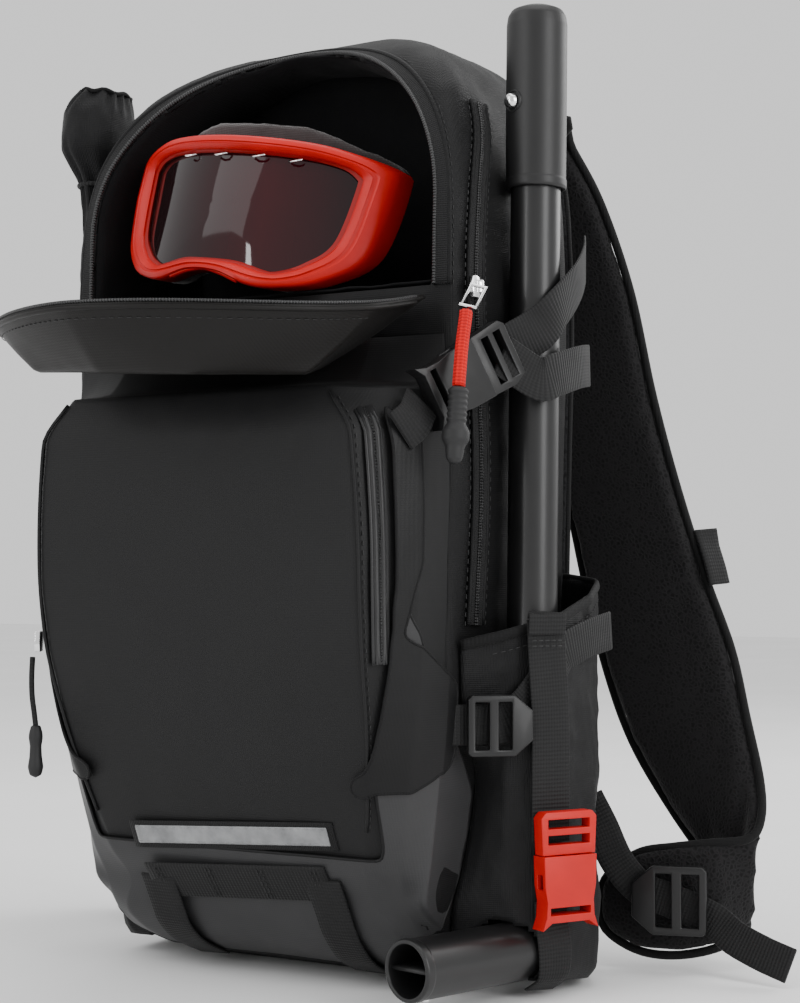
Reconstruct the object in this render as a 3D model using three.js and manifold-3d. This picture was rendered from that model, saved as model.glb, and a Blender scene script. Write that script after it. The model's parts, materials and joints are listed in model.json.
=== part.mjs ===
// Avalanche airbag backpack, standing on its base with the goggle flap open.
//
// Millimetres, +Z up. +Y is the wearer's side (back panel and shoulder straps), -Y is the front
// of the pack, and +X is the side that carries the shovel handle. The origin is the centre of
// the flat base that the pack stands on.

import * as THREE from 'three';
import { mergeVertices } from 'three/addons/utils/BufferGeometryUtils.js';
import Module from 'manifold-3d';

const wasm = await Module();
wasm.setup();

// ---------------------------------------------------------------- driving dimensions

const GAP = 0.4;                 // air between pieces that are sewn or pressed together
const SHELL_WALL = 3;            // main bag wall, fabric over foam
const POCKET_WALL = 2.4;         // front pocket wall
const SKIN = 1.6;                // coated boot skin and wing panels
const WEB_WIDTH = 25;            // webbing of the compression and pocket straps
const WEB_THICK = 1.4;

const BODY_FRONT = -47;          // front wall of the main bag
const BODY_BACK = 88;            // rear edge of the main bag, where the back panel closes it
const BASE_Z = 5;                // height of the base flat before the shift at the end of the file
const BASE_FRONT = 20;
const BASE_BACK = 76;

const ARCH_HALF = 120;           // goggle opening, half width
const ARCH_FLOOR = 391;          // goggle opening, lowest edge
const ARCH_SPRING = 440;         // where its straight sides turn into the half ellipse
const ARCH_RISE = 101;
const GOGGLE_POCKET_BACK = 46;
const LINER = 2;

const FLAP_HINGE = { y: -50.5, z: 384 };
const FLAP_DROOP = 5;            // degrees below horizontal while the flap rests open
const FLAP_HALF = 120;
const FLAP_LENGTH = 160;
const FLAP_DEPTH = 34.5;
const FLAP_TWIST = 0.0625;       // the dome hangs deeper on the shovel side, per unit of x
const FLAP_WALL = 3;
const FLAP_RIM_SAG = 6;          // how far the side rims curve out of the flap's own plane

const SHAFT_FOOT = new THREE.Vector3(147, 9, 29.5);
const SHAFT_LEAN = 12 / 534;     // rearward lean of the shovel shaft, per unit of height
const SHAFT_RADIUS = 14;
const SLEEVE_RADIUS = 17.2;
const SLEEVE_BOTTOM = 450;
const SLEEVE_TOP = 554;
const GRIP_RADIUS = 16.2;
const GRIP_FORE = 94;
const GRIP_AFT = 14;
const GRIP_YAW = 14;             // degrees from straight forward, towards the pack

// ---------------------------------------------------------------- materials

const finish = (color, roughness, metalness = 0) =>
  new THREE.MeshStandardMaterial({ color, roughness, metalness });

const MATERIAL = {
  shell: finish(0x1b1b1c, 0.75),
  coated: finish(0x2a2a2b, 0.5),
  boot: finish(0x4a4a4b, 0.38),
  lining: finish(0x101011, 0.85),
  mesh: finish(0x141415, 0.95),
  foam: finish(0x1a1718, 0.8),
  flap: finish(0x221f1d, 0.6),
  webbing: finish(0x1a1a1b, 0.8),
  zip: finish(0x232324, 0.45),
  reflective: finish(0xb9bbbd, 0.35),
  red: finish(0xe8320a, 0.35),
  plastic: finish(0x2c2c2d, 0.4),
  rubber: finish(0x3a3a3b, 0.7),
  chrome: finish(0xd8d8d8, 0.12, 1),
  shaft: finish(0x161617, 0.25),
  lens: finish(0x0c0608, 0.05),
  airbag: finish(0xd04a16, 0.7),
  steel: finish(0x8d9093, 0.3, 1),
  sheet: finish(0xd8d8d2, 0.5),
};

// ---------------------------------------------------------------- geometry helpers

const at = (x, y, z) => new THREE.Vector3(x, y, z);
const radians = THREE.MathUtils.degToRad;
const mirrored = (p) => at(-p.x, p.y, p.z);

/** Indexed geometry whose faces point out, whichever way its triangles were listed. */
function closedGeometry(points, triangles) {
  let volume = 0;
  const cross = new THREE.Vector3();
  for (const [a, b, c] of triangles) {
    volume += points[a].dot(cross.crossVectors(points[b], points[c]));
  }
  const facing = volume < 0 ? triangles.map(([a, b, c]) => [a, c, b]) : triangles;
  const geometry = new THREE.BufferGeometry();
  geometry.setAttribute('position',
    new THREE.Float32BufferAttribute(points.flatMap((p) => p.toArray()), 3));
  geometry.setIndex(facing.flat());
  return geometry;
}

/** Closed solid through rings of equal length. Each end is capped by a fan. */
function loft(rings) {
  const count = rings[0].length;
  const points = rings.flat();
  const triangles = [];
  for (let r = 0; r + 1 < rings.length; r += 1) {
    for (let i = 0; i < count; i += 1) {
      const j = (i + 1) % count;
      const a = r * count + i;
      const b = r * count + j;
      triangles.push([a, b, b + count], [a, b + count, a + count]);
    }
  }
  const cap = (first, flip) => {
    const centre = points.slice(first, first + count)
      .reduce((sum, p) => sum.add(p), at(0, 0, 0)).divideScalar(count);
    points.push(centre);
    for (let i = 0; i < count; i += 1) {
      const a = first + i;
      const b = first + (i + 1) % count;
      triangles.push(flip ? [points.length - 1, b, a] : [points.length - 1, a, b]);
    }
  };
  cap(0, true);
  cap((rings.length - 1) * count, false);
  return closedGeometry(points, triangles);
}

/** Rounded polygon in plan. Corners are [x, y, radius]; height may follow x and y. */
function roundedLoop(corners, height, steps = 4) {
  const points = [];
  const heightAt = typeof height === 'function' ? height : () => height;
  corners.forEach(([x, y, radius], i) => {
    const here = new THREE.Vector2(x, y);
    const before = new THREE.Vector2(...corners.at(i - 1)).sub(here).normalize();
    const after = new THREE.Vector2(...corners[(i + 1) % corners.length]).sub(here).normalize();
    const half = Math.acos(THREE.MathUtils.clamp(before.dot(after), -1, 1)) / 2;
    const centre = before.clone().add(after).normalize()
      .multiplyScalar(radius / Math.sin(half)).add(here);
    const start = before.multiplyScalar(radius / Math.tan(half)).add(here).sub(centre);
    const end = after.multiplyScalar(radius / Math.tan(half)).add(here).sub(centre);
    let turn = end.angle() - start.angle();
    turn -= 2 * Math.PI * Math.round(turn / (2 * Math.PI));
    for (let k = 0; k <= steps; k += 1) {
      const p = start.clone().rotateAround(new THREE.Vector2(), turn * k / steps).add(centre);
      points.push(at(p.x, p.y, heightAt(p.x, p.y)));
    }
  });
  return points;
}

/** The geometry's positions and faces alone, with coincident points merged. */
function welded(geometry) {
  const bare = new THREE.BufferGeometry();
  bare.setAttribute('position', geometry.getAttribute('position').clone());
  if (geometry.index) bare.setIndex(geometry.index.clone());
  return mergeVertices(bare, 1e-3);
}

/** Manifold solid of a geometry, for cutting and joining. */
function solidOf(geometry) {
  const merged = welded(geometry);
  return new wasm.Manifold(new wasm.Mesh({
    numProp: 3,
    vertProperties: new Float32Array(merged.getAttribute('position').array),
    triVerts: new Uint32Array(merged.index.array),
  }));
}

function geometryOf(solid) {
  const mesh = solid.getMesh();
  const geometry = new THREE.BufferGeometry();
  geometry.setAttribute('position',
    new THREE.BufferAttribute(new Float32Array(mesh.vertProperties), 3));
  geometry.setIndex(new THREE.BufferAttribute(new Uint32Array(mesh.triVerts), 1));
  return geometry;
}

const cut = (body, ...tools) =>
  geometryOf(tools.reduce((solid, tool) => solid.subtract(solidOf(tool)), solidOf(body)));
const join = (...bodies) =>
  geometryOf(bodies.map(solidOf).reduce((solid, next) => solid.add(next)));
const common = (a, b) => geometryOf(solidOf(a).intersect(solidOf(b)));
const reflected = (body) => geometryOf(solidOf(body).mirror([1, 0, 0]));

const block = (low, high) => new THREE.BoxGeometry(...high.clone().sub(low).toArray())
  .translate(...low.clone().add(high).multiplyScalar(0.5).toArray());

/** Prism of an outline of [x, z] points, from y = low to y = high. */
function prismAlongY(outline, low, high) {
  const shape = new THREE.Shape(outline.map(([x, z]) => new THREE.Vector2(x, z)));
  return new THREE.ExtrudeGeometry(shape, { depth: high - low, bevelEnabled: false })
    .rotateX(Math.PI / 2).translate(0, high, 0);
}

/** Prism of an outline of [y, z] points, from x = low to x = high. */
function prismAlongX(outline, low, high) {
  const shape = new THREE.Shape(outline.map(([y, z]) => new THREE.Vector2(y, z)));
  return new THREE.ExtrudeGeometry(shape, { depth: high - low, bevelEnabled: false })
    .rotateX(Math.PI / 2).rotateZ(Math.PI / 2).translate(low, 0, 0);
}

/** Cylinder between two points. */
function rod(from, to, radius, sides = 16) {
  const along = to.clone().sub(from);
  return new THREE.CylinderGeometry(radius, radius, along.length(), sides)
    .applyQuaternion(new THREE.Quaternion()
      .setFromUnitVectors(at(0, 1, 0), along.clone().normalize()))
    .translate(...from.clone().add(to).multiplyScalar(0.5).toArray());
}

/** Body turned about the Z axis from a profile of [radius, z] points that starts and ends on the axis. */
function turned(profile, sides) {
  const lathe = welded(new THREE.LatheGeometry(profile.map(([r, z]) => new THREE.Vector2(r, z)), sides)
    .rotateX(Math.PI / 2));
  const position = lathe.getAttribute('position');
  const points = Array.from({ length: position.count },
    (_, i) => new THREE.Vector3().fromBufferAttribute(position, i));
  const index = lathe.index.array;
  const triangles = Array.from({ length: index.length / 3 }, (_, i) => [...index.slice(3 * i, 3 * i + 3)])
    .filter(([a, b, c]) => a !== b && b !== c && c !== a);
  return closedGeometry(points, triangles);
}

/** Round cord along a smooth path. */
function cord(path, radius, steps, sides = 8) {
  const circle = new THREE.Shape();
  circle.absarc(0, 0, radius, 0, 2 * Math.PI);
  return new THREE.ExtrudeGeometry(circle, {
    extrudePath: new THREE.CatmullRomCurve3(path),
    steps,
    curveSegments: sides,
    bevelEnabled: false,
  });
}

/** Puts a piece drawn along +X, with its face to +Z, at a place: along and out are its new X and Z. */
function placed(geometry, origin, along, out) {
  const x = along.clone().normalize();
  const z = out.clone().addScaledVector(x, -out.dot(x)).normalize();
  const y = z.clone().cross(x);
  return geometry.applyMatrix4(new THREE.Matrix4().makeBasis(x, y, z).setPosition(origin));
}

/** Flat strap. Stations are [centre of the strap, direction that its outer face looks in]. */
function strap(stations, width, thickness) {
  const rings = stations.map(([centre, face], i) => {
    const before = stations[Math.max(i - 1, 0)][0];
    const after = stations[Math.min(i + 1, stations.length - 1)][0];
    const along = after.clone().sub(before).normalize();
    const out = face.clone().addScaledVector(along, -face.dot(along)).normalize();
    const across = out.clone().cross(along);
    return [[-1, -1], [1, -1], [1, 1], [-1, 1]].map(([s, t]) => centre.clone()
      .addScaledVector(across, s * width / 2).addScaledVector(out, t * thickness / 2));
  });
  return loft(rings);
}

const group = new THREE.Group();

function add(name, geometry, material) {
  const mesh = new THREE.Mesh(geometry, material);
  mesh.name = name;
  group.add(mesh);
  return mesh;
}

// ---------------------------------------------------------------- main bag

// Height, half width, front and corner radii of the main bag from the base to the crown.
const BODY_STATIONS = [
  { z: BASE_Z, half: 90, front: BASE_FRONT, back: BASE_BACK, round: 20 },
  { z: 9, half: 99, front: 7, back: 82, round: 20 },
  { z: 14, half: 104, front: -6, back: 86, round: 22 },
  { z: 20, half: 107, front: -19, back: 88, round: 22 },
  { z: 27, half: 109.5, front: -30, back: 88, round: 20 },
  { z: 38, half: 112, front: -40, back: 88, round: 18 },
  { z: 54, half: 115.5, front: BODY_FRONT, back: 88, round: 16 },
  { z: 116, half: 122, front: BODY_FRONT, back: 88, round: 9 },
  { z: 160, half: 126, front: BODY_FRONT, back: 88, round: 9 },
  { z: 200, half: 128, front: BODY_FRONT, back: 88, round: 9 },
  { z: 300, half: 130.5, front: BODY_FRONT, back: 88, round: 9 },
  { z: 384, half: 132.5, front: BODY_FRONT, back: 88, round: 9 },
  { z: 443, half: 130.5, front: -45.5, back: 88, round: 11 },
  { z: 472, half: 127, front: -42, back: 88, round: 14 },
  { z: 500, half: 120, front: -33, back: 88, round: 16 },
  { z: 518, half: 109, front: -24, back: 84, round: 18 },
  { z: 532, half: 95, front: -12, back: 74, round: 18 },
  { z: 542, half: 78, front: 3, back: 64, round: 14 },
  { z: 548, half: 58, front: 15, back: 54, round: 10 },
];

/** The station at a height, interpolated between its neighbours. */
function stationAt(stations, z) {
  const upper = Math.max(1, stations.findIndex((s) => s.z >= z));
  const [a, b] = [stations[upper - 1], stations[upper]];
  const t = (z - a.z) / (b.z - a.z);
  return Object.fromEntries(Object.keys(a).map((key) => [key, a[key] + (b[key] - a[key]) * t]));
}

const bodyAt = (z) => stationAt(BODY_STATIONS, z);

function bodyLoop({ z, half, front, back, round }, inset = 0, openBack = 0) {
  const [x, near] = [half - inset, front + inset];
  const far = openBack || back - inset;
  const backRound = openBack ? 1 : 8;
  return roundedLoop([
    [x, near, round], [x, far, backRound], [-x, far, backRound], [-x, near, round],
  ], z);
}

const bodyOuter = () => loft(BODY_STATIONS.map((s) => bodyLoop(s)));

function archOutline(inset) {
  const half = ARCH_HALF - inset;
  const points = [[-half, ARCH_FLOOR + inset], [half, ARCH_FLOOR + inset]];
  const steps = 14;
  for (let i = 0; i <= steps; i += 1) {
    const angle = Math.PI * i / steps;
    points.push([half * Math.cos(angle), ARCH_SPRING + (ARCH_RISE - inset) * Math.sin(angle)]);
  }
  return points;
}

function mainShell() {
  const floor = bodyAt(BASE_Z + SHELL_WALL);
  const inside = BODY_STATIONS.filter((s) => s.z > BASE_Z && s.z < 543);
  const roof = { ...bodyAt(545) };
  const hollow = loft([floor, ...inside, roof]
    .map((s) => bodyLoop(s, SHELL_WALL, BODY_BACK + 12)));
  return cut(bodyOuter(), hollow, prismAlongY(archOutline(0), -60, 20));
}

function gogglePocket() {
  const skin = prismAlongY(archOutline(GAP + 0.3), -60, GOGGLE_POCKET_BACK + LINER);
  const room = prismAlongY(archOutline(GAP + 0.3 + LINER), -62, GOGGLE_POCKET_BACK);
  return cut(common(skin, bodyOuter()), room);
}

/** Outline of a panel that fills the main bag's section, drawn with an inset from its sides. */
function sectionOutline(inset, low, high) {
  const levels = BODY_STATIONS.map((s) => s.z).filter((z) => z > low && z < high);
  const side = [low, ...levels, high].map((z) => [bodyAt(z).half - inset, z]);
  return [...side, ...side.map(([x, z]) => [-x, z]).reverse()];
}

add('main_shell', mainShell(), MATERIAL.shell);
add('goggle_pocket', gogglePocket(), MATERIAL.lining);
add('frame_sheet', prismAlongY(sectionOutline(14, 24, 500), 80, 82), MATERIAL.sheet);
add('back_panel', prismAlongY(sectionOutline(1, 10, 520), BODY_BACK + GAP, 93), MATERIAL.mesh);

// ---------------------------------------------------------------- back pads

/** Pad on the back panel: an outline of [x, z, radius] corners with a smaller, rounded face. */
function backPad(corners, depth, shrink) {
  const centre = corners.reduce(([sx, sz], [x, z]) => [sx + x, sz + z], [0, 0])
    .map((v) => v / corners.length);
  const ring = (y, toCentre) => roundedLoop(corners.map(([x, z, r]) => [
    x + Math.sign(centre[0] - x) * Math.min(toCentre, Math.abs(centre[0] - x)),
    z + Math.sign(centre[1] - z) * Math.min(toCentre, Math.abs(centre[1] - z)),
    r,
  ]), 0, 3).map((p) => at(p.x, y, p.y));
  const base = 93 + GAP;
  return loft([ring(base, 0), ring(base + depth * 0.6, 0), ring(base + depth, shrink)]);
}

const UPPER_PAD = [[14, 220, 10], [92, 214, 14], [98, 430, 20], [14, 440, 10]];
add('back_pad_right', backPad(UPPER_PAD, 12, 7), MATERIAL.foam);
add('back_pad_left', backPad(UPPER_PAD.map(([x, z, r]) => [-x, z, r]), 12, 7), MATERIAL.foam);
add('lumbar_pad', backPad([
  [-100, 12, 16], [100, 12, 16], [134, 30, 14], [134, 72, 14],
  [100, 150, 24], [-100, 150, 24], [-134, 72, 14], [-134, 30, 14],
], 15, 8), MATERIAL.foam);

// ---------------------------------------------------------------- front pocket

// Plan of the front pocket at each height: face, crease half width, side bulge and rear edge.
const POCKET_STATIONS = [
  { z: 60, face: -51, crease: 84, bulge: 103, bulgeY: -49.4, rear: 113 },
  { z: 78, face: -63.5, crease: 88, bulge: 106, bulgeY: -57, rear: 116 },
  { z: 116, face: -77, crease: 97, bulge: 113, bulgeY: -64, rear: 120.5 },
  { z: 152, face: -88, crease: 103.5, bulge: 119, bulgeY: -68, rear: 124 },
  { z: 200, face: -100.5, crease: 108, bulge: 124, bulgeY: -72, rear: 127 },
  { z: 240, face: -104.5, crease: 109, bulge: 125.5, bulgeY: -73, rear: 128.5 },
  { z: 308, face: -106, crease: 105, bulge: 124, bulgeY: -73, rear: 130 },
  { z: 334, face: -101, crease: 88, bulge: 113, bulgeY: -72, rear: 130 },
  { z: 339, face: -72, crease: 86, bulge: 111, bulgeY: -58, rear: 129 },
  { z: 364, face: -53, crease: 84, bulge: 109, bulgeY: -49.6, rear: 127 },
];

/** Plan of the pocket. Tucked loops run on into the bag, for skins that cover both. */
function pocketLoop({ z, face, crease, bulge, bulgeY, rear }, grow = 0, rearY = BODY_FRONT - GAP) {
  const tucked = rearY > BODY_FRONT ? [[rear + grow - 0.5, rearY, 0.1]] : [];
  const side = [...tucked, [rear + grow, Math.min(rearY, BODY_FRONT - GAP), 0.2],
    [bulge + grow, bulgeY - grow * 0.3, 3], [crease + grow * 0.8, face - grow, 3]];
  return roundedLoop([...side, ...side.map(([x, y, r]) => [-x, y, r]).reverse()], z, 3);
}

const pocketOuter = (grow, rearY) => loft(POCKET_STATIONS.map((s) => pocketLoop(s, grow, rearY)));

function frontPocketShell() {
  const room = POCKET_STATIONS.slice(1, -1)
    .map((s) => pocketLoop({ ...s, z: s.z - 2 }, -POCKET_WALL, BODY_FRONT + 8));
  return cut(pocketOuter(0), loft(room));
}

add('front_pocket_shell', frontPocketShell(), MATERIAL.coated);

/** Thin skin that lies on the front pocket and the bag between two offsets. */
function skinShell(inner, outer) {
  const bodySkin = (grow) => loft(BODY_STATIONS.slice(0, 11)
    .map((s) => bodyLoop({ ...s, z: s.z - (s.z === BASE_Z ? grow : 0) }, -grow)));
  const whole = (grow) => join(bodySkin(grow), pocketOuter(grow, BODY_FRONT + 6));
  return cut(whole(outer), whole(inner));
}

// Side view of the boot: a point high on each flank, down to the bottom edge and the front.
const BOOT_OUTLINE = [
  [-84.5, 227], [-54, 173], [-12, 116], [-17, 68], [-34, 36], [-6, 10], [-30, 4],
  [-90, 4], [-90, 58], [-62, 84], [-78.5, 128],
];
const BOOT_OFFSET = 0.8;

function baseBoot() {
  const skin = skinShell(BOOT_OFFSET, BOOT_OFFSET + SKIN);
  return common(skin, prismAlongX(BOOT_OUTLINE, -160, 160));
}

add('base_boot', baseBoot(), MATERIAL.boot);

// ---------------------------------------------------------------- wings, zips and front trim

// Side view of a wing: sewn along the gusset, drawn out to the end that holds the lower strap.
const WING_OUTLINE = [
  [-86, 326], [-72, 304], [-72, 242], [-81, 203], [-38, 176], [-38, 134], [-62, 121],
  [-80, 119], [-84, 150], [-86, 200],
];
const WING_OFFSET = 2.5;

function wing(side) {
  const skin = skinShell(WING_OFFSET, WING_OFFSET + SKIN);
  const [low, high] = side > 0 ? [90, 160] : [-160, -90];
  return common(skin, prismAlongX(WING_OUTLINE, low, high));
}

add('wing_right', wing(1), MATERIAL.coated);
add('wing_left', wing(-1), MATERIAL.coated);

const GUSSET_ZIP_SHARE = 0.33;   // place of the zip between the crease and the side bulge

/** Zip tape that runs up one gusset of the front pocket and over its top corner. */
function gussetZip(side) {
  const stations = [190, 200, 240, 308, 322].map((z) => {
    const s = stationAt(POCKET_STATIONS, z);
    const across = at(s.bulge - s.crease, s.bulgeY - s.face, 0);
    const out = at(across.y, -across.x, 0).normalize();
    const centre = at(s.crease, s.face, z).addScaledVector(across, GUSSET_ZIP_SHARE)
      .addScaledVector(out, GAP + 1.3 + 0.09 * Math.max(0, z - 308));
    return side > 0 ? [centre, out] : [mirrored(centre), mirrored(out)];
  });
  return strap(stations, 11, 1.6);
}

add('front_zip_right', gussetZip(1), MATERIAL.zip);
add('front_zip_left', gussetZip(-1), MATERIAL.zip);

const FACE_OUT = at(0, -0.94, -0.34);       // outward direction of the lower front face
const BAND_OUT = at(0, -0.82, -0.57);

function crossBar(centre, out, halfLength, height, thickness) {
  return placed(new THREE.BoxGeometry(2 * halfLength, height, thickness), centre, TRIM_TILT, out);
}

const TRIM_TILT = at(1, 0, 0.054);          // the trim rises a little towards the right
add('reflective_strip', crossBar(at(2, -70.8, 90), FACE_OUT, 66, 11, 1), MATERIAL.reflective);

// Centre line of a haul strap, its outward direction and how far the right one sits above the left.
const HAUL_PATH = [
  [57, -61.2, 65.5, BAND_OUT, 3], [57.5, -51.1, 46.5, at(0, -0.76, -0.65), 2.5],
  [58, -43.5, 33.5, at(0, -0.7, -0.72), 1.5], [58, -28.9, 20.5, at(0, -0.5, -0.87), 0],
  [56, -8.3, 11, at(0, -0.4, -0.92), 0],
];

/** Two haul straps that run down from a daisy chain band and under the bag. */
function haulWebbing() {
  const leg = (side) => strap(HAUL_PATH
    .map(([x, y, z, out, rise]) => [at(side * x, y, z + side * rise), out]), WEB_WIDTH, 1.8);
  return join(crossBar(at(0, -59.4, 63), BAND_OUT, 62, 26, 1.8), leg(1), leg(-1));
}
add('haul_webbing', haulWebbing(), MATERIAL.webbing);

// Side zip of the tool compartment.
const TOOL_ZIP = [
  [at(128.3, -20.8, 207), at(1, -0.1, 0)], [at(130.3, -18.2, 290), at(1, -0.1, 0)],
  [at(132.6, -27.5, 390), at(1, -0.05, 0)], [at(130.6, -21.2, 440), at(1, 0, 0.1)],
  [at(125.8, -8.6, 477), at(1, 0, 0.2)], [at(120.4, -3.4, 498), at(1, 0, 0.35)],
];
add('tool_zip', strap(TOOL_ZIP.map(([p, out]) => [p.clone().add(at(1.9, 0, 0.2)), out]), 13, 1.6),
  MATERIAL.zip);

// Zip tape around the goggle opening, on the outer face of the bag.
function goggleZip() {
  const ring = (inset, lift) => archOutline(inset).slice(1).map(([x, z]) => at(x, lift, z));
  const tape = (inset) => prismAlongY(archOutline(inset), -70, 30);
  const skin = (grow) => loft(BODY_STATIONS.map((s) => bodyLoop(s, -grow)));
  const band = cut(tape(-5), tape(1));
  const lifted = cut(skin(1.6), skin(GAP));
  const open = block(at(-200, -90, 300), at(200, 60, ARCH_FLOOR + 6));
  const front = block(at(-200, -60, 380), at(200, 12, 560));
  return cut(common(common(lifted, band), front), open);
}
add('goggle_zip', goggleZip(), MATERIAL.zip);

// ---------------------------------------------------------------- side pockets and sleeve

const HEM = { front: 197, rise: 0.3 };      // pocket hem height at the front, and its slope

// Plan of the side pocket at each height: where it meets the bag, then its corners.
const SIDE_POCKET = [
  { z: 12, base: 107, front: -2, near: [134, -4], out: [154, -2], side: [161, 12], far: [163, 46],
    rear: [149, 70] },
  { z: 20, base: 109, front: -10, near: [139, -10], out: [158, -5], side: [167, 12], far: [169, 47],
    rear: [153, 73] },
  { z: 50, base: 116, front: -22, near: [141, -13], out: [159, -4.5], side: [167.5, 12], far: [170, 48],
    rear: [154, 74] },
  { z: 75, base: 118.5, front: -14, near: [142, -13], out: [158.5, -4], side: [166, 12], far: [168, 47],
    rear: [154, 74] },
  { z: 116, base: 122.6, front: -9, near: [143, -12.5], out: [158.4, -3], side: [165.5, 12.6], far: [167, 46],
    rear: [157, 74] },
  { z: 160, base: 126.6, front: -30, near: [143, -12.5], out: [158.1, -2.3], side: [165.2, 12.4],
    far: [166, 45], rear: [157, 73] },
];
const POCKET_FABRIC = 1.6;
const POCKET_REAR = 84;

/** Pocket in plan. Fill is 1 for the loaded right pocket and less for an empty one. */
function sidePocketLoop(s, fill, inset, height) {
  const inner = s.base + GAP + inset;
  const move = ([x, y], dx, dy) => [s.base + (x - s.base) * fill + dx * inset, y + dy * inset];
  return roundedLoop([
    [inner, s.front + inset, 1], [...move(s.near, -0.6, 0.9), 5], [...move(s.out, -0.8, 0.7), 6],
    [...move(s.side, -1, 0), 6], [...move(s.far, -1, 0), 9], [...move(s.rear, -0.7, -0.8), 5],
    [inner, POCKET_REAR - inset, 1],
  ], height ?? s.z, 3);
}

function sidePocket(fill) {
  const hem = { ...SIDE_POCKET.at(-1), base: 129.6, front: -36, near: [146, -19], out: [158.6, -1.6] };
  const floorAt = (x, y) => 14.5 - 0.11 * (y + 2);
  const hemAt = (x, y) => HEM.front + HEM.rise * (y + 36);
  const [foot, ...rest] = SIDE_POCKET;
  const outer = loft([sidePocketLoop(foot, fill, 0, floorAt),
    ...rest.map((s) => sidePocketLoop(s, fill, 0)), sidePocketLoop(hem, fill, 0, hemAt)]);
  const inner = loft([sidePocketLoop(foot, fill, POCKET_FABRIC, (x, y) => floorAt(x, y) + 2),
    ...rest.map((s) => sidePocketLoop(s, fill, POCKET_FABRIC)),
    sidePocketLoop(hem, fill, POCKET_FABRIC, hemAt),
    sidePocketLoop(hem, fill, POCKET_FABRIC, (x, y) => hemAt(x, y) + 20)]);
  return cut(outer, inner);
}

const shaftAt = (z) => at(SHAFT_FOOT.x, SHAFT_FOOT.y + (z - SHAFT_FOOT.z) * SHAFT_LEAN, z);
const gripAxis = at(-Math.sin(radians(GRIP_YAW)), -Math.cos(radians(GRIP_YAW)), 0);
const gripAt = (reach) => SHAFT_FOOT.clone().addScaledVector(gripAxis, reach);

add('side_pocket_right', cut(sidePocket(1), rod(gripAt(-30), gripAt(GRIP_FORE + 20), GRIP_RADIUS + 0.8, 24)),
  MATERIAL.shell);
add('side_pocket_left', reflected(sidePocket(0.4)), MATERIAL.shell);

/** Oval ring of the sleeve on the left flank. */
function sleeveRing(x, y, z, a, b, inset = 0) {
  const sides = 20;
  return Array.from({ length: sides }, (_, i) => {
    const angle = 2 * Math.PI * i / sides;
    return at(x + (a - inset) * Math.cos(angle), y + (b - inset) * Math.sin(angle), z);
  });
}

const SLEEVE_WALL = 1.8;
const SLEEVE = [
  [-147, 9, 238, 9, 20], [-147.5, 9, 250, 12.5, 27], [-148, 8, 330, 13.5, 28],
  [-148, 6, 400, 13.5, 28], [-148, 4, 450, 12.5, 26], [-148, 0, 476, 12.5, 22],
  [-151, -5, 500, 18, 29], [-151, -6, 520, 18, 28], [-147, -4, 536, 11, 19],
];

function cinchSleeve() {
  const inside = SLEEVE.slice(1).map((r) => sleeveRing(...r, SLEEVE_WALL));
  const mouth = sleeveRing(...SLEEVE.at(-1), SLEEVE_WALL).map((p) => p.add(at(0, 0, 12)));
  return cut(loft(SLEEVE.map((r) => sleeveRing(...r))), loft([...inside, mouth]));
}
add('cinch_sleeve_left', cinchSleeve(), MATERIAL.shell);

// ---------------------------------------------------------------- goggle flap

const flapAlong = at(0, -Math.cos(radians(FLAP_DROOP)), -Math.sin(radians(FLAP_DROOP)));
const flapOut = at(0, Math.sin(radians(FLAP_DROOP)), -Math.cos(radians(FLAP_DROOP)));

/** A point of the open flap: x across, t from the hinge to the front edge, n into the dome. */
const flapPoint = (x, t, n) => at(x, FLAP_HINGE.y, FLAP_HINGE.z)
  .addScaledVector(flapAlong, t).addScaledVector(flapOut, n);

/** D-shaped rim with its straight edge at the hinge; the sides sag out of the rim's plane. */
function flapRim(inset) {
  const half = FLAP_HALF - inset;
  const spring = 52;
  const fullness = 2 / 1.7;      // 1 gives an ellipse, more gives a more pointed front
  const points = [flapPoint(-half, 5 + inset, 0), flapPoint(half, 5 + inset, 0)];
  const sag = (t) => FLAP_RIM_SAG * Math.sin(Math.PI * Math.min(t / FLAP_LENGTH, 1));
  const steps = 16;
  for (let i = 0; i <= steps; i += 1) {
    const angle = Math.PI * i / steps;
    const across = Math.sign(Math.cos(angle)) * Math.abs(Math.cos(angle)) ** fullness;
    const t = spring + (FLAP_LENGTH - spring - inset) * Math.sin(angle) ** fullness;
    points.push(flapPoint(half * across, t, sag(t)));
  }
  return points;
}

/** Flat outer facet of the dome, with as many points as the rim. */
function flapFacet(inset, depth) {
  const corners = [[56, 24], [88, 74], [52, 124], [0, 134]];
  const facetPoint = (x, t) => flapPoint(x, t, depth + FLAP_TWIST * x);
  return flapRim(0).map((_, i) => {
    if (i < 2) return facetPoint((i ? 1 : -1) * (corners[0][0] - inset), corners[0][1] - 2 + inset);
    const share = (i - 2) / 16;
    const along = 3 - 3 * Math.abs(1 - 2 * share);
    const k = Math.min(Math.floor(along), 2);
    const [a, b] = [corners[k], corners[k + 1]];
    const x = a[0] + (b[0] - a[0]) * (along - k);
    const t = a[1] + (b[1] - a[1]) * (along - k);
    return facetPoint((share < 0.5 ? 1 : -1) * Math.max(x - inset, 0), t - inset * 0.6);
  });
}

add('goggle_flap', loft([
  flapFacet(0, FLAP_DEPTH), flapRim(0), flapRim(FLAP_WALL), flapFacet(FLAP_WALL, FLAP_DEPTH - FLAP_WALL),
]), MATERIAL.flap);

// ---------------------------------------------------------------- goggles

const GOGGLE = { x: -15, front: -72, z: 442, half: 95, sweep: 44, roll: 8, lean: 10 };

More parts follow.
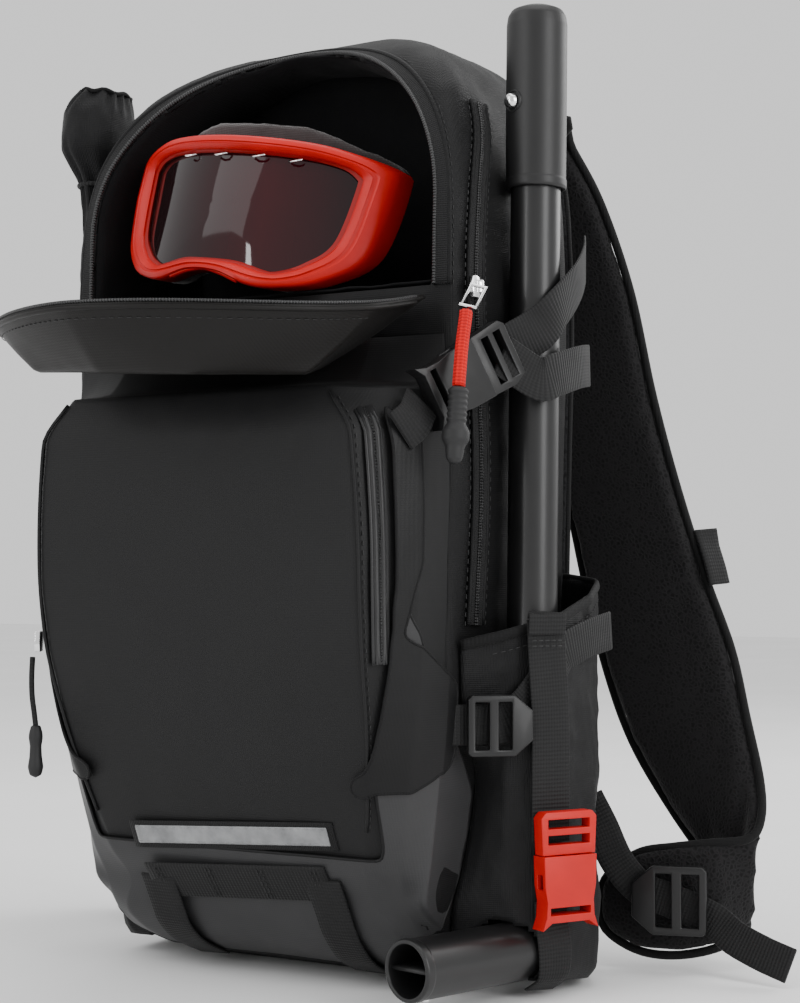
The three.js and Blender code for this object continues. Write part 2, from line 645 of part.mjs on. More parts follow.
/** A point of the goggles: x across, z up, both from their centre; depth back from the front curve. */
function gogglePoint(x, z, depth) {
  const roll = radians(GOGGLE.roll);
  const lean = Math.tan(radians(GOGGLE.lean));
  const bow = GOGGLE.sweep * (x / GOGGLE.half) ** 2;
  return at(GOGGLE.x + x * Math.cos(roll) + z * Math.sin(roll),
    GOGGLE.front + bow + depth + (z + 32) * lean, GOGGLE.z + z * Math.cos(roll) - x * Math.sin(roll));
}

// Right halves of the goggle outlines, from the top centre round to the nose.
const FRAME_OUTER = [
  [0, 44], [43, 43], [66, 40], [88, 33], [92, 24], [86, -18], [67, -35.5],
  [46, -41.5], [30, -41.5], [10, -35.5],
];
const FRAME_INNER = [
  [0, 35.5], [43, 34.5], [64, 31.5], [73, 27], [75, 21], [70, -13], [57, -27],
  [44, -33], [35, -33], [14, -29],
];
const LENS_EDGE = FRAME_INNER.map(([x, z]) => [x * 0.985, z - Math.sign(z) * 0.6]);
const FOAM_OUTER = [
  [0, 54], [35, 53], [60, 45], [78, 39], [86, 27], [78, -16], [60, -34], [44, -41], [31, -41], [12, -33],
];
const FOAM_INNER = FOAM_OUTER.map(([x, z]) => [x * 0.84, z * 0.72]);

function goggleRing(outline, depth) {
  const left = outline.slice(1).reverse().map(([x, z]) => [-x, z]);
  return [...outline, ...left].map(([x, z]) => gogglePoint(x, z, depth));
}

/** Closed band between an outer and an inner outline, from a front depth to a rear depth. */
function goggleBand(outer, inner, front, rear) {
  const rings = [goggleRing(outer, front), goggleRing(outer, rear),
    goggleRing(inner, rear), goggleRing(inner, front)];
  const count = rings[0].length;
  const triangles = [];
  rings.forEach((_, r) => {
    const next = (r + 1) % rings.length;
    for (let i = 0; i < count; i += 1) {
      const j = (i + 1) % count;
      triangles.push([r * count + i, r * count + j, next * count + j],
        [r * count + i, next * count + j, next * count + i]);
    }
  });
  return closedGeometry(rings.flat(), triangles);
}

add('goggle_frame', goggleBand(FRAME_OUTER, FRAME_INNER, 0, 18), MATERIAL.red);
add('goggle_lens', loft([goggleRing(LENS_EDGE, 9), goggleRing(LENS_EDGE, 11.5)]), MATERIAL.lens);
add('goggle_foam', goggleBand(FOAM_OUTER, FOAM_INNER, 20.5, 31), MATERIAL.foam);
add('goggle_strap', strap([
  [gogglePoint(-79, 6, 35), at(-0.3, 1, 0)], [at(-74, 11, 455), at(0, 1, 0)],
  [at(35, 11, 440), at(0, 1, 0)], [gogglePoint(74, 6, 35), at(0.3, 1, 0)],
], 36, 1.4), MATERIAL.webbing);

// ---------------------------------------------------------------- shovel handle

function hollowRod(from, to, outer, inner, sides = 20) {
  const along = to.clone().sub(from).normalize();
  return cut(rod(from, to, outer, sides),
    rod(from.clone().addScaledVector(along, -5), to.clone().addScaledVector(along, 5), inner, sides));
}

const SLEEVE_HOLE = shaftAt(498);
const buttonOut = at(-0.37, -0.93, 0).normalize();
const BUTTON_RADIUS = 4.6;

function shaftTube() {
  const top = shaftAt(SLEEVE_TOP - 20);
  const keyway = placed(new THREE.BoxGeometry(90, 12, 12), SLEEVE_HOLE.clone()
    .addScaledVector(buttonOut, 14).add(at(0, 0, 30)), at(0, SHAFT_LEAN, 1), buttonOut);
  return cut(hollowRod(shaftAt(SHAFT_FOOT.z + GRIP_RADIUS + GAP), top, SHAFT_RADIUS, 11.5), keyway);
}

function shaftSleeve() {
  const up = shaftAt(100).sub(shaftAt(0)).normalize();
  const bore = SHAFT_RADIUS + 0.5;
  const profile = [[0, SLEEVE_TOP], [9, SLEEVE_TOP], [14.5, SLEEVE_TOP - 3], [SLEEVE_RADIUS, SLEEVE_TOP - 9],
    [SLEEVE_RADIUS, SLEEVE_BOTTOM], [bore, SLEEVE_BOTTOM], [bore, SLEEVE_TOP - 14], [0, SLEEVE_TOP - 4]];
  const body = turned(profile.map(([r, z]) => [r, z - SHAFT_FOOT.z]), 24)
    .applyQuaternion(new THREE.Quaternion().setFromUnitVectors(at(0, 0, 1), up))
    .translate(...SHAFT_FOOT.toArray());
  const hole = rod(SLEEVE_HOLE.clone().addScaledVector(buttonOut, 8),
    SLEEVE_HOLE.clone().addScaledVector(buttonOut, 24), BUTTON_RADIUS + 0.5, 12);
  return cut(body, hole);
}

add('shaft_tube', shaftTube(), MATERIAL.shaft);
add('shaft_sleeve', shaftSleeve(), MATERIAL.shaft);

const buttonProfile = [[0, 9.5], [BUTTON_RADIUS, 9.5], [BUTTON_RADIUS, 18], [3.6, 20.4], [0, 21.8]];
add('snap_button', turned(buttonProfile, 12)
  .applyQuaternion(new THREE.Quaternion().setFromUnitVectors(at(0, 0, 1), buttonOut))
  .translate(...SLEEVE_HOLE.toArray()), MATERIAL.chrome);

/** Open tube with one flat web across its bore. */
function tGrip() {
  const body = hollowRod(gripAt(-GRIP_AFT), gripAt(GRIP_FORE), GRIP_RADIUS, GRIP_RADIUS - 2.4, 24);
  const web = placed(new THREE.BoxGeometry(GRIP_FORE + GRIP_AFT - 4, 2 * GRIP_RADIUS - 3, 2),
    gripAt((GRIP_FORE - GRIP_AFT) / 2), gripAxis, at(0, 0, 1));
  return join(body, web);
}
add('t_grip', tGrip(), MATERIAL.shaft);

// ---------------------------------------------------------------- buckles

/** Flat plate of a given outline and thickness, centred on z = 0. */
function plate(outline, thickness) {
  const shape = new THREE.Shape(outline.map(([x, y]) => new THREE.Vector2(x, y)));
  return new THREE.ExtrudeGeometry(shape, { depth: thickness, bevelEnabled: false })
    .translate(0, 0, -thickness / 2);
}

/** Tool that cuts a webbing slot across a plate, from x = low to x = high. */
const slot = (low, high, half) => block(at(low, -half, -20), at(high, half, 20));

const BUCKLE = { half: 18, thick: 11, split: 8, tail: -31.5, head: 31.5, cavity: 14.6, reach: -14 };

/** Side-release buckle, female half: box with horns at its webbing end and open side windows. */
function buckleFemale() {
  const b = BUCKLE;
  const body = plate([
    [b.tail, -b.half], [b.tail + 7, -15.5], [-16, -15], [-8, -16.5], [b.split, -17],
    [b.split, 17], [-8, 16.5], [-16, 15], [b.tail + 7, 15.5], [b.tail, b.half],
    [b.tail + 4, 12], [b.tail + 4, -12],
  ], b.thick);
  const cavity = block(at(b.reach, -b.cavity + 1, -3.4), at(b.split + 2, b.cavity - 1, 3.4));
  const window = block(at(-10, -20, -2.6), at(-2, 20, 2.6));
  return cut(body, slot(b.tail + 8, b.tail + 12, 13), cavity, window);
}

/** Side-release buckle, male half: ladder frame and two arms. */
function buckleMale() {
  const b = BUCKLE;
  const frame = plate([
    [b.split + GAP, -17], [b.head - 3, -b.half], [b.head, -15], [b.head, 15], [b.head - 3, b.half],
    [b.split + GAP, 17],
  ], 8);
  const ladder = cut(frame, slot(b.split + 6, b.split + 11, 13.5), slot(b.head - 9, b.head - 4, 13.5));
  const arm = (low, high) => block(at(b.reach + 1, low, -2.8), at(b.split + 2, high, 2.8));
  return join(ladder, arm(-13, -8.5), arm(8.5, 13), arm(-1.5, 1.5));
}

const LOCK = { half: 16.5, foot: -18, head: 8, lip: 18 };

/** Ladder lock: frame with two webbing slots and a lip to tilt it by. */
function ladderLock(size) {
  const frame = plate([
    [LOCK.foot, -LOCK.half + 2], [LOCK.foot + 2, -LOCK.half], [LOCK.head, -LOCK.half],
    [LOCK.lip, -8], [LOCK.lip, 8], [LOCK.head, LOCK.half], [LOCK.foot + 2, LOCK.half],
    [LOCK.foot, LOCK.half - 2],
  ], 5);
  return cut(frame, slot(-14, -6, 12.8), slot(-1, 6.5, 12.8)).scale(size, size, 1);
}

// Upper compression strap: female half sewn to the wing, male half on the strap over the shaft.
const UPPER = { centre: at(139.8, -44.8, 341.5), along: at(0.402, 0.776, 0.488), out: at(0.889, -0.456, 0) };
const UPPER_ALONG = UPPER.along.clone().normalize();
const UPPER_OUT = UPPER.out.clone().addScaledVector(UPPER_ALONG, -UPPER.out.dot(UPPER_ALONG)).normalize();
const upperAt = (reach, lift) => UPPER.centre.clone().addScaledVector(UPPER_ALONG, reach)
  .addScaledVector(UPPER_OUT, lift);

add('upper_buckle_female', placed(buckleFemale(), UPPER.centre, UPPER.along, UPPER.out), MATERIAL.plastic);
add('upper_buckle_male', placed(buckleMale(), UPPER.centre, UPPER.along, UPPER.out), MATERIAL.plastic);
add('upper_anchor_webbing', strap([
  [at(123.8, -86.9, 309), UPPER.out], [at(127.3, -78.9, 316), UPPER.out], [upperAt(-32.2, -1), UPPER.out],
], WEB_WIDTH - 2, WEB_THICK), MATERIAL.webbing);
add('upper_strap_webbing', strap([
  [upperAt(11, -5.6), UPPER.out], [upperAt(33, -5.6), UPPER.out], [upperAt(58, -6.2), UPPER.out],
  [at(163.4, 16, 383), at(1, 0.05, 0)], [at(162.4, 38, 398), at(0.94, 0.33, 0)],
  [at(155, 62, 412), at(0.88, 0.47, 0)], [at(143, 86, 422), at(0.88, 0.47, 0)],
], WEB_WIDTH, WEB_THICK), MATERIAL.webbing);
add('upper_strap_tail', strap([
  [at(163.5, -10, 340), at(0.9, -0.4, 0)], [at(167.6, 4, 344), at(0.98, -0.15, 0)],
  [at(168.6, 20, 348), at(1, 0.05, 0)], [at(168, 34, 351), at(0.98, 0.2, 0)],
  [at(164, 50, 353), at(0.95, 0.3, 0)],
], WEB_WIDTH, WEB_THICK), MATERIAL.webbing);

// Lower strap: webbing from the wing end, ladder lock, then under the pocket strap to its tail.
const LOWER = { centre: at(147.9, -25, 153.5), along: at(0.716, 0.698, 0), out: at(0.698, -0.716, 0) };
add('side_ladder_lock', placed(ladderLock(1), LOWER.centre, LOWER.along, LOWER.out), MATERIAL.plastic);
add('lower_strap_webbing', strap([
  [at(130.9, -36.7, 154), LOWER.out], [at(135.2, -31.2, 154), LOWER.out],
  [at(146, -20.6, 154), LOWER.out], [at(154.8, -8.4, 163), at(0.8, -0.6, 0)],
  [at(163.1, 3.8, 181), at(0.88, -0.46, 0)], [at(167, 14, 192), at(1, -0.1, 0)],
  [at(170.5, 36, 199), at(1, 0, 0)], [at(171, 62, 203), at(1, 0.1, 0)],
], WEB_WIDTH - 3, WEB_THICK), MATERIAL.webbing);

// Pocket strap with the red buckle.
const RED = { centre: at(172.7, 2.7, 75.5), along: at(0, 0, 1), out: at(0.885, -0.465, 0) };
const POCKET_STRAP_OUT = at(0.866, -0.5, 0);
add('red_buckle_female', placed(buckleFemale(), RED.centre, RED.along, RED.out), MATERIAL.red);
add('red_buckle_male', placed(buckleMale(), RED.centre, RED.along, RED.out), MATERIAL.red);
add('pocket_strap', strap([[164, -3, 211], [164.4, -1.6, 190], [165, 0, 165], [164.8, 1, 140],
  [164.4, 1.6, 112], [164.4, 1.6, 92]].map((p) => [at(...p), POCKET_STRAP_OUT]),
WEB_WIDTH - 1, WEB_THICK), MATERIAL.webbing);
add('pocket_strap_lower', strap([[164.4, 1.6, 58], [164.8, 1.8, 46], [166.4, 2.4, 32], [164.6, 3.6, 17],
  [154, 7, 8.6]].map((p, i) => [at(...p), i < 3 ? POCKET_STRAP_OUT : at(0.7, -0.3, -0.6)]),
WEB_WIDTH - 4, WEB_THICK), MATERIAL.webbing);

// ---------------------------------------------------------------- zip slider with its pull

const SLIDER = at(138.2, -33, 390);
const zipUp = at(-0.02, 0.02, 1).normalize();
const sliderPlate = () => plate([[-6, -4], [0, -5], [6, -3.5], [6, 3.5], [0, 5], [-6, 4]], 3.4);
add('tool_zip_slider', join(
  placed(sliderPlate(), SLIDER, zipUp, at(1, 0, 0)),
  placed(new THREE.BoxGeometry(7, 2.4, 4), SLIDER.clone().add(at(2.6, 0, 0)), zipUp, at(1, 0, 0)),
), MATERIAL.chrome);

// The pull hangs clear of the buckle: wire loop, cord and grip.
const LOOP_TOP = at(144.2, -40.5, 389);
const LOOP_FOOT = at(146.2, -55.5, 376.5);
const PULL_END = at(148.6, -69.5, 331);

function pullLoop() {
  const across = at(0.35, -0.94, 0).cross(LOOP_FOOT.clone().sub(LOOP_TOP)).normalize();
  const side = (s) => rod(LOOP_TOP.clone().addScaledVector(across, 4 * s),
    LOOP_FOOT.clone().addScaledVector(across, 4 * s), 0.9, 8);
  const bar = (p) => rod(p.clone().addScaledVector(across, -4.8),
    p.clone().addScaledVector(across, 4.8), 0.95, 8);
  return join(side(-1), side(1), bar(LOOP_TOP), bar(LOOP_FOOT));
}
add('tool_pull_loop', pullLoop(), MATERIAL.chrome);
add('tool_pull_cord', cord([at(146.8, -58.4, 373.4), at(147.5, -61.5, 366), at(148.2, -66, 350),
  PULL_END.clone().add(at(0, 0.2, 1.8))], 3.6, 6, 8), MATERIAL.red);

const gripProfile = [
  [0, 0], [5.4, 0], [5.6, 4], [5.4, 18], [7.2, 21], [7.2, 27], [5, 30], [4.6, 35], [3, 38.5], [0, 39.5],
];
const turnedDown = (profile, sides) => turned(profile.map(([r, h]) => [r, -h]), sides);
add('tool_pull_grip', turnedDown(gripProfile, 14).rotateX(radians(7)).translate(...PULL_END.toArray()),
  MATERIAL.rubber);

// ---------------------------------------------------------------- left gusset slider and pull

const LEFT_SLIDER = at(-119.4, -93.6, 196);
add('front_zip_slider', placed(sliderPlate(), LEFT_SLIDER, at(0, 0, 1), at(-0.88, -0.47, 0)),
  MATERIAL.chrome);
const leftPull = [at(-122, -96, 187), at(-121, -98, 172), at(-119, -98.4, 160), at(-117, -98.4, 147)];
add('front_zip_pull', join(cord(leftPull, 1.6, 6, 8),
  turnedDown([[0, 0], [3, 0], [4, 6], [3.4, 16], [4.4, 24], [3, 29], [0, 30]], 10)
    .translate(-117, -98.4, 148)), MATERIAL.rubber);

// ---------------------------------------------------------------- shoulder straps

const PAD_THICK = 12;

// Outer and inner edge of the right shoulder strap, from the yoke to its rounded lower tip.
const PAD_STATIONS = [
  [at(114, 101, 512), at(46, 101, 506)],
  [at(122, 112, 492), at(52, 112, 484)],
  [at(133, 128, 460), at(60, 130, 450)],
  [at(146, 141, 408), at(72, 143, 400)],
  [at(155, 153, 345), at(80, 155, 337)],
  [at(166, 163, 290), at(90, 165, 284)],
  [at(183, 166, 235), at(101, 169, 228)],
  [at(202, 162, 190), at(115, 169, 176)],
  [at(214, 156, 150), at(134, 166, 132)],
  [at(226, 147, 114), at(160, 166, 92)],
  [at(231, 136, 93), at(196, 161, 50)],
  [at(227, 127, 82), at(217, 148, 29)],
  [at(207, 120, 79), at(210, 127, 19)],
  [at(186, 114, 76), at(189, 115, 13.5)],
  [at(166, 111, 72), at(166, 111, 14)],
  [at(149, 110, 61), at(147, 110, 22)],
  [at(141, 110, 50), at(140, 110, 32)],
];

/** The left strap hangs as a mirror image, a little wider and closer to the pack at its foot. */
function toLeft(p) {
  const drop = Math.max(0, 1 - p.z / 220);
  return at(-p.x - 10 * drop, p.y - 22 * drop * (p.y > 130 ? 1 : 0.4), p.z);
}

/** Padded strap: at each station an oval ring between its two edges. */
function shoulderPad(stations) {
  const middles = stations.map(([a, b]) => a.clone().add(b).multiplyScalar(0.5));
  return loft(stations.map(([outer, inner], i) => {
    const along = middles[Math.min(i + 1, middles.length - 1)].clone()
      .sub(middles[Math.max(i - 1, 0)]).normalize();
    const across = outer.clone().sub(inner);
    const half = across.length() / 2;
    across.normalize();
    const out = along.clone().cross(across).normalize();
    const t = PAD_THICK / 2;
    return [[-half, -0.35 * t], [-half + 3, -t], [0, -t], [half - 3, -t], [half, -0.35 * t],
      [half, 0.35 * t], [half - 3, t], [0, t], [-half + 3, t], [-half, 0.35 * t]]
      .map(([s, n]) => middles[i].clone().addScaledVector(across, s).addScaledVector(out, n));
  }));
}

const LEFT_STATIONS = PAD_STATIONS.map(([a, b]) => [toLeft(a), toLeft(b)]);
add('shoulder_strap_right', shoulderPad(PAD_STATIONS), MATERIAL.mesh);
add('shoulder_strap_left', shoulderPad(LEFT_STATIONS), MATERIAL.mesh);

// Ladder lock at the foot of each strap, on the pad's outer face, with the webbing beneath it.
const onLeft = ([p, out]) => [toLeft(p), mirrored(out)];
const FOOT = { centre: at(189, 100, 47), along: at(-0.95, -0.31, 0), out: at(0.31, -0.95, 0) };
const FOOT_LOCK_SIZE = 1.2;
const footLock = () => ladderLock(FOOT_LOCK_SIZE);
add('foot_ladder_lock_right', placed(footLock(), FOOT.centre, FOOT.along, FOOT.out), MATERIAL.plastic);
add('foot_ladder_lock_left',
  placed(footLock(), toLeft(FOOT.centre), mirrored(FOOT.along), mirrored(FOOT.out)), MATERIAL.plastic);

const FOOT_WEBBING = [
  [at(140, 92, 104), at(0.6, -0.7, -0.3)], [at(150, 91, 88), at(0.5, -0.8, -0.2)],
  [at(159, 93.8, 68), at(0.35, -0.93, 0)], [at(171.7, 98.2, 53), FOOT.out],
  [at(187.9, 103.6, 46.5), FOOT.out], [at(209.6, 111.6, 37), FOOT.out],
];
const TAIL = at(0.1, -0.9, 0.2);
const LONG_TAIL = [[at(226, 107.5, 28), TAIL], [at(245, 103, 21.5), TAIL], [at(263, 99, 17), TAIL]];
const SHORT_TAIL = [[at(215, 110.5, 32), FOOT.out]];
const footWebbing = (stations) => strap(stations, WEB_WIDTH - 5, WEB_THICK);
add('foot_webbing_right', footWebbing([...FOOT_WEBBING, ...LONG_TAIL]), MATERIAL.webbing);
add('foot_webbing_left', footWebbing([...FOOT_WEBBING, ...SHORT_TAIL].map(onLeft)), MATERIAL.webbing);

// Webbing loop for the chest strap on the outer edge of each shoulder strap.
const STERNUM = [
  [at(181.7, 170.4, 262), at(0.8, -0.6, 0)], [at(185, 169, 252), at(0.9, -0.4, 0)],
  [at(189.5, 167.5, 240), at(0.9, -0.4, 0)], [at(192.5, 167, 229), at(0.9, -0.4, 0)],
];
add('sternum_loop_right', strap(STERNUM, 16, 3), MATERIAL.webbing);
add('sternum_loop_left', strap(STERNUM.map(([p, out]) => [mirrored(p), mirrored(out)]), 16, 3),
  MATERIAL.webbing);

// Handle that fires the airbag, on the outer face of the left shoulder strap.
add('trigger_handle', join(
  block(at(-131, 172, 285), at(-115, 184, 300)),
  block(at(-127, 173, 299), at(-119, 182.5, 322)),
  block(at(-140, 172, 276), at(-106, 184, 287)),
), MATERIAL.red);

// Grab handle on the top of the back panel.
add('grab_handle', strap([
  [at(-37, 96, 498), at(0, 1, 0)], [at(-37, 98, 520), at(-0.3, 1, 0)], [at(-31, 100, 540), at(-0.8, 0.2, 1)],
  [at(-13, 101, 550), at(-0.2, 0.1, 1)], [at(13, 101, 550), at(0.2, 0.1, 1)],
  [at(31, 100, 540), at(0.8, 0.2, 1)], [at(37, 98, 520), at(0.3, 1, 0)], [at(37, 96, 498), at(0, 1, 0)],
], 16, 4), MATERIAL.webbing);

// ---------------------------------------------------------------- airbag system

const CYLINDER = { x: -62, y: 42, foot: 40, radius: 27, shoulder: 232 };
add('gas_cylinder', turned([
  [0, 0], [18, 0], [CYLINDER.radius, 12], [CYLINDER.radius, 170], [14, 190], [10, 192], [0, 192],
], 20).translate(CYLINDER.x, CYLINDER.y, CYLINDER.foot), MATERIAL.steel);
add('inflator_head', join(
  rod(at(CYLINDER.x, CYLINDER.y, CYLINDER.shoulder + GAP), at(CYLINDER.x, CYLINDER.y, 282), 18, 16),
  rod(at(CYLINDER.x + 10, CYLINDER.y, 262), at(CYLINDER.x + 46, CYLINDER.y, 262), 9, 12),
), MATERIAL.plastic);
const BAG_CORNERS = [
  [-98, 396, 12], [98, 396, 12], [98, 470, 20], [64, 508, 20], [-64, 508, 20], [-98, 470, 20],
];
add('folded_airbag', loft([50, 56, 70, 77].map((y, i) => roundedLoop(BAG_CORNERS
  .map(([x, z, r]) => [x * (i % 3 ? 1 : 0.93), 450 + (z - 450) * (i % 3 ? 1 : 0.9), r]), 0, 3)
  .map((p) => at(p.x, y, p.y)))), MATERIAL.airbag);
add('trigger_cable', cord([
  at(CYLINDER.x, CYLINDER.y, 283), at(-70, 46, 310), at(-96, 56, 345), at(-112, 66, 385), at(-112, 72, 430),
  at(-108, 74, 470),
], 2, 14, 6), MATERIAL.plastic);

// ---------------------------------------------------------------- result

// Brings the centre of the base flat to the origin.
for (const mesh of group.children) {
  mesh.geometry.translate(0, -(BASE_FRONT + BASE_BACK) / 2, -BASE_Z);
}

export default group;
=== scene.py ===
"""Avalanche airbag backpack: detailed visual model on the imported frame.

Lengths in this script are millimetres in the part's working coordinates (x to the shovel
side, y towards the wearer, z up); P() turns a point into the row frame in metres.
"""
import json
import math

import bmesh
import bpy
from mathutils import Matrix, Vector, geometry, noise
from mathutils.bvhtree import BVHTree


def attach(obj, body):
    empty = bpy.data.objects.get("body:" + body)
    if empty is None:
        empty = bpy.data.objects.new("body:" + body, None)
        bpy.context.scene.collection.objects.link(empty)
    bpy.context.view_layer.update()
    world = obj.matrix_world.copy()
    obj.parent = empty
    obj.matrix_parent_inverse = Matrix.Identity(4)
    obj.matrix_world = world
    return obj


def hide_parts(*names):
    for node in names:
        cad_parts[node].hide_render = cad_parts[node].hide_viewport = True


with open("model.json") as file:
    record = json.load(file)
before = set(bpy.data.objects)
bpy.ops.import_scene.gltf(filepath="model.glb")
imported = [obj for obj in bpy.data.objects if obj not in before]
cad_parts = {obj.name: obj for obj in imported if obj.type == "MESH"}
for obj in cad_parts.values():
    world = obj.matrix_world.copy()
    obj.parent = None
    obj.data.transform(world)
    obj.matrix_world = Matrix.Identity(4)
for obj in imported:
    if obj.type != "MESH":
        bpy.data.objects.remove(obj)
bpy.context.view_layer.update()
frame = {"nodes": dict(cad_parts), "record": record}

SCENE = bpy.context.scene
NODES = frame["nodes"]
SHIFT = Vector((0, -48, -5))


def V(*p):
    return Vector(p)


def P(x, y=None, z=None):
    """Row-frame point in metres of a working point in millimetres."""
    v = Vector(x) if y is None else Vector((x, y, z))
    return (v + SHIFT) * 0.001


# ------------------------------------------------------------------ camera

def make_camera():
    data = bpy.data.cameras.new("camera")
    data.lens, data.sensor_width = 73.2, 36
    cam = bpy.data.objects.new("camera", data)
    cam.location = (0.6883, -1.0310, 0.2300)
    aim = Vector((0.0477, -0.0146, 0.2727)) - cam.location
    cam.rotation_mode = "QUATERNION"
    cam.rotation_quaternion = aim.to_track_quat("-Z", "Y")
    data.clip_start, data.clip_end = 0.05, 30
    SCENE.collection.objects.link(cam)
    SCENE.camera = cam


make_camera()


# ------------------------------------------------------------------ materials

class Nodes:
    """Small helper that builds a shader tree."""

    def __init__(self, name, slot):
        self.mat = bpy.data.materials.new(name)
        self.mat.use_nodes = True
        self.tree = self.mat.node_tree
        self.bsdf = self.tree.nodes["Principled BSDF"]
        self.slot = slot
        self.mat["slot"] = slot

    def add(self, kind, **values):
        node = self.tree.nodes.new("ShaderNode" + kind)
        for key, value in values.items():
            if hasattr(node, key):
                setattr(node, key, value)
            else:
                node.inputs[key.replace("_", " ")].default_value = value
        return node

    def link(self, a, b):
        self.tree.links.new(a, b)

    def coords(self, kind="Object"):
        return self.add("TexCoord").outputs[kind]

    def wave(self, source, direction, period, detail=0.0, distortion=0.0):
        node = self.add("TexWave", bands_direction=direction, wave_type="BANDS")
        node.inputs["Scale"].default_value = 2 * math.pi / (20 * period)
        node.inputs["Distortion"].default_value = distortion
        node.inputs["Detail"].default_value = detail
        self.link(source, node.inputs["Vector"])
        return node.outputs["Fac"]

    def noise(self, source, scale, detail=4.0, rough=0.55):
        node = self.add("TexNoise")
        node.inputs["Scale"].default_value = scale
        node.inputs["Detail"].default_value = detail
        node.inputs["Roughness"].default_value = rough
        self.link(source, node.inputs["Vector"])
        return node.outputs["Fac"]

    def maths(self, op, a, b):
        node = self.add("Math", operation=op)
        for socket, value in zip(node.inputs, (a, b)):
            if isinstance(value, (int, float)):
                socket.default_value = value
            else:
                self.link(value, socket)
        return node.outputs[0]

    def ramp(self, fac, stops):
        node = self.add("ValToRGB")
        ramp = node.color_ramp
        while len(ramp.elements) < len(stops):
            ramp.elements.new(0.5)
        for element, (place, colour) in zip(ramp.elements, stops):
            element.position = place
            element.color = (*colour, 1)
        self.link(fac, node.inputs["Fac"])
        return node.outputs["Color"]

    def colour(self, socket):
        self.link(socket, self.bsdf.inputs["Base Color"])

    def roughness(self, fac, low, high):
        node = self.add("MapRange")
        node.inputs["To Min"].default_value = low
        node.inputs["To Max"].default_value = high
        self.link(fac, node.inputs["Value"])
        self.link(node.outputs[0], self.bsdf.inputs["Roughness"])

    def bump(self, height, distance, strength=1.0, after=None):
        node = self.add("Bump")
        node.inputs["Distance"].default_value = distance
        node.inputs["Strength"].default_value = strength
        self.link(height, node.inputs["Height"])
        if after is not None:
            self.link(after, node.inputs["Normal"])
        self.link(node.outputs[0], self.bsdf.inputs["Normal"])
        return node.outputs[0]

    def set(self, **values):
        for key, value in values.items():
            socket = self.bsdf.inputs[key.replace("_", " ")]
            socket.default_value = (*value, 1) if isinstance(value, tuple) else value
        return self


def shade(colour, k):
    return tuple(min(1, c * k) for c in colour)


def cloth_material(name, slot, colour, rough=0.75, period=0.0011, weave=0.00012, wrinkle=0.0012,
                   sheen=0.25, mottle=0.25, crease_scale=26):
    """Woven cloth: crossed threads, soft creases and slight unevenness of colour."""
    m = Nodes(name, slot)
    at = m.coords()
    threads = m.maths("ADD", m.maths("ADD", m.wave(at, "X", period), m.wave(at, "Y", period)),
                      m.wave(at, "Z", period))
    patch = m.noise(at, 9, 5)
    fine = m.noise(at, 240, 3)
    mixed = m.maths("ADD", m.maths("MULTIPLY", patch, 0.7), m.maths("MULTIPLY", fine, 0.3))
    m.colour(m.ramp(mixed, [(0.3, shade(colour, 1 - mottle)), (0.7, shade(colour, 1 + mottle))]))
    m.roughness(patch, rough - 0.08, min(1, rough + 0.1))
    creases = m.noise(at, crease_scale, 5, 0.62)
    first = m.bump(creases, wrinkle, 0.6)
    m.bump(threads, weave, 0.6, first)
    m.set(Sheen_Weight=sheen, Sheen_Roughness=0.45, Specular_IOR_Level=0.16)
    return m.mat


def coated_material(name, slot, colour, rough, coat=0.0, wrinkle=0.0008, grain=0.00008, grain_scale=900):
    """Laminated or coated cloth: pebbled face, soft broad creases, rubbed patches."""
    m = Nodes(name, slot)
    at = m.coords()
    broad = m.noise(at, 6, 4)
    rub = m.noise(at, 60, 5)
    fac = m.maths("ADD", m.maths("MULTIPLY", broad, 0.6), m.maths("MULTIPLY", rub, 0.4))
    m.colour(m.ramp(fac, [(0.3, shade(colour, 0.86)), (0.7, shade(colour, 1.14))]))
    m.roughness(rub, rough - 0.06, rough + 0.08)
    first = m.bump(m.noise(at, 18, 4), wrinkle, 0.5)
    second = m.bump(m.noise(at, grain_scale, 2), grain, 0.5, first)
    threads = m.maths("ADD", m.wave(at, "X", 0.0013), m.wave(at, "Z", 0.0013))
    m.bump(threads, 0.00006, 0.5, second)
    m.set(Coat_Weight=coat, Coat_Roughness=0.3, Sheen_Weight=0.01, Sheen_Roughness=0.5, Specular_IOR_Level=0.2)
    return m.mat


def webbing_material(name, slot, colour, period=0.0022):
    """Ribbed webbing. U runs along the strap and V across it, in metres. Ribs are painted lighter and grooves darker
    (painted highlight and painted shade), over random tone.
    """
    m = Nodes(name, slot)
    uv = m.coords("UV")
    ribs = m.wave(uv, "X", period)
    rows = m.wave(uv, "Y", period * 0.8)
    weave = m.maths("ADD", m.maths("MULTIPLY", ribs, 0.75), m.maths("MULTIPLY", rows, 0.35))
    patch = m.noise(m.coords(), 70, 4)
    fac = m.maths("ADD", m.maths("MULTIPLY", weave, 0.45), m.maths("MULTIPLY", patch, 0.5))
    # rib crests painted lighter and grooves darker (painted highlight and painted shade); the patch noise is random
    # tone
    m.colour(m.ramp(fac, [(0.15, shade(colour, 0.6)), (0.85, shade(colour, 1.45))]))
    m.roughness(patch, 0.62, 0.85)
    m.bump(weave, 0.0004, 0.8, m.bump(patch, 0.0006, 0.4))
    m.set(Sheen_Weight=0.04, Sheen_Roughness=0.4, Specular_IOR_Level=0.25)
    return m.mat


def coil_material(name, slot, colour, period=0.0016, rough=0.35):
    """Zip coil: U runs along it. The colour is painted lighter on the teeth and darker between them: painted highlight
    and painted shade.
    """
    m = Nodes(name, slot)
    uv = m.coords("UV")
    teeth = m.wave(uv, "X", period)
    # painted highlight on the teeth and painted shade in the gaps between them
    m.colour(m.ramp(teeth, [(0.2, shade(colour, 0.35)), (0.8, shade(colour, 2.2))]))
    m.roughness(teeth, rough, rough + 0.25)
    m.bump(teeth, 0.0007, 1.0)
    return m.mat


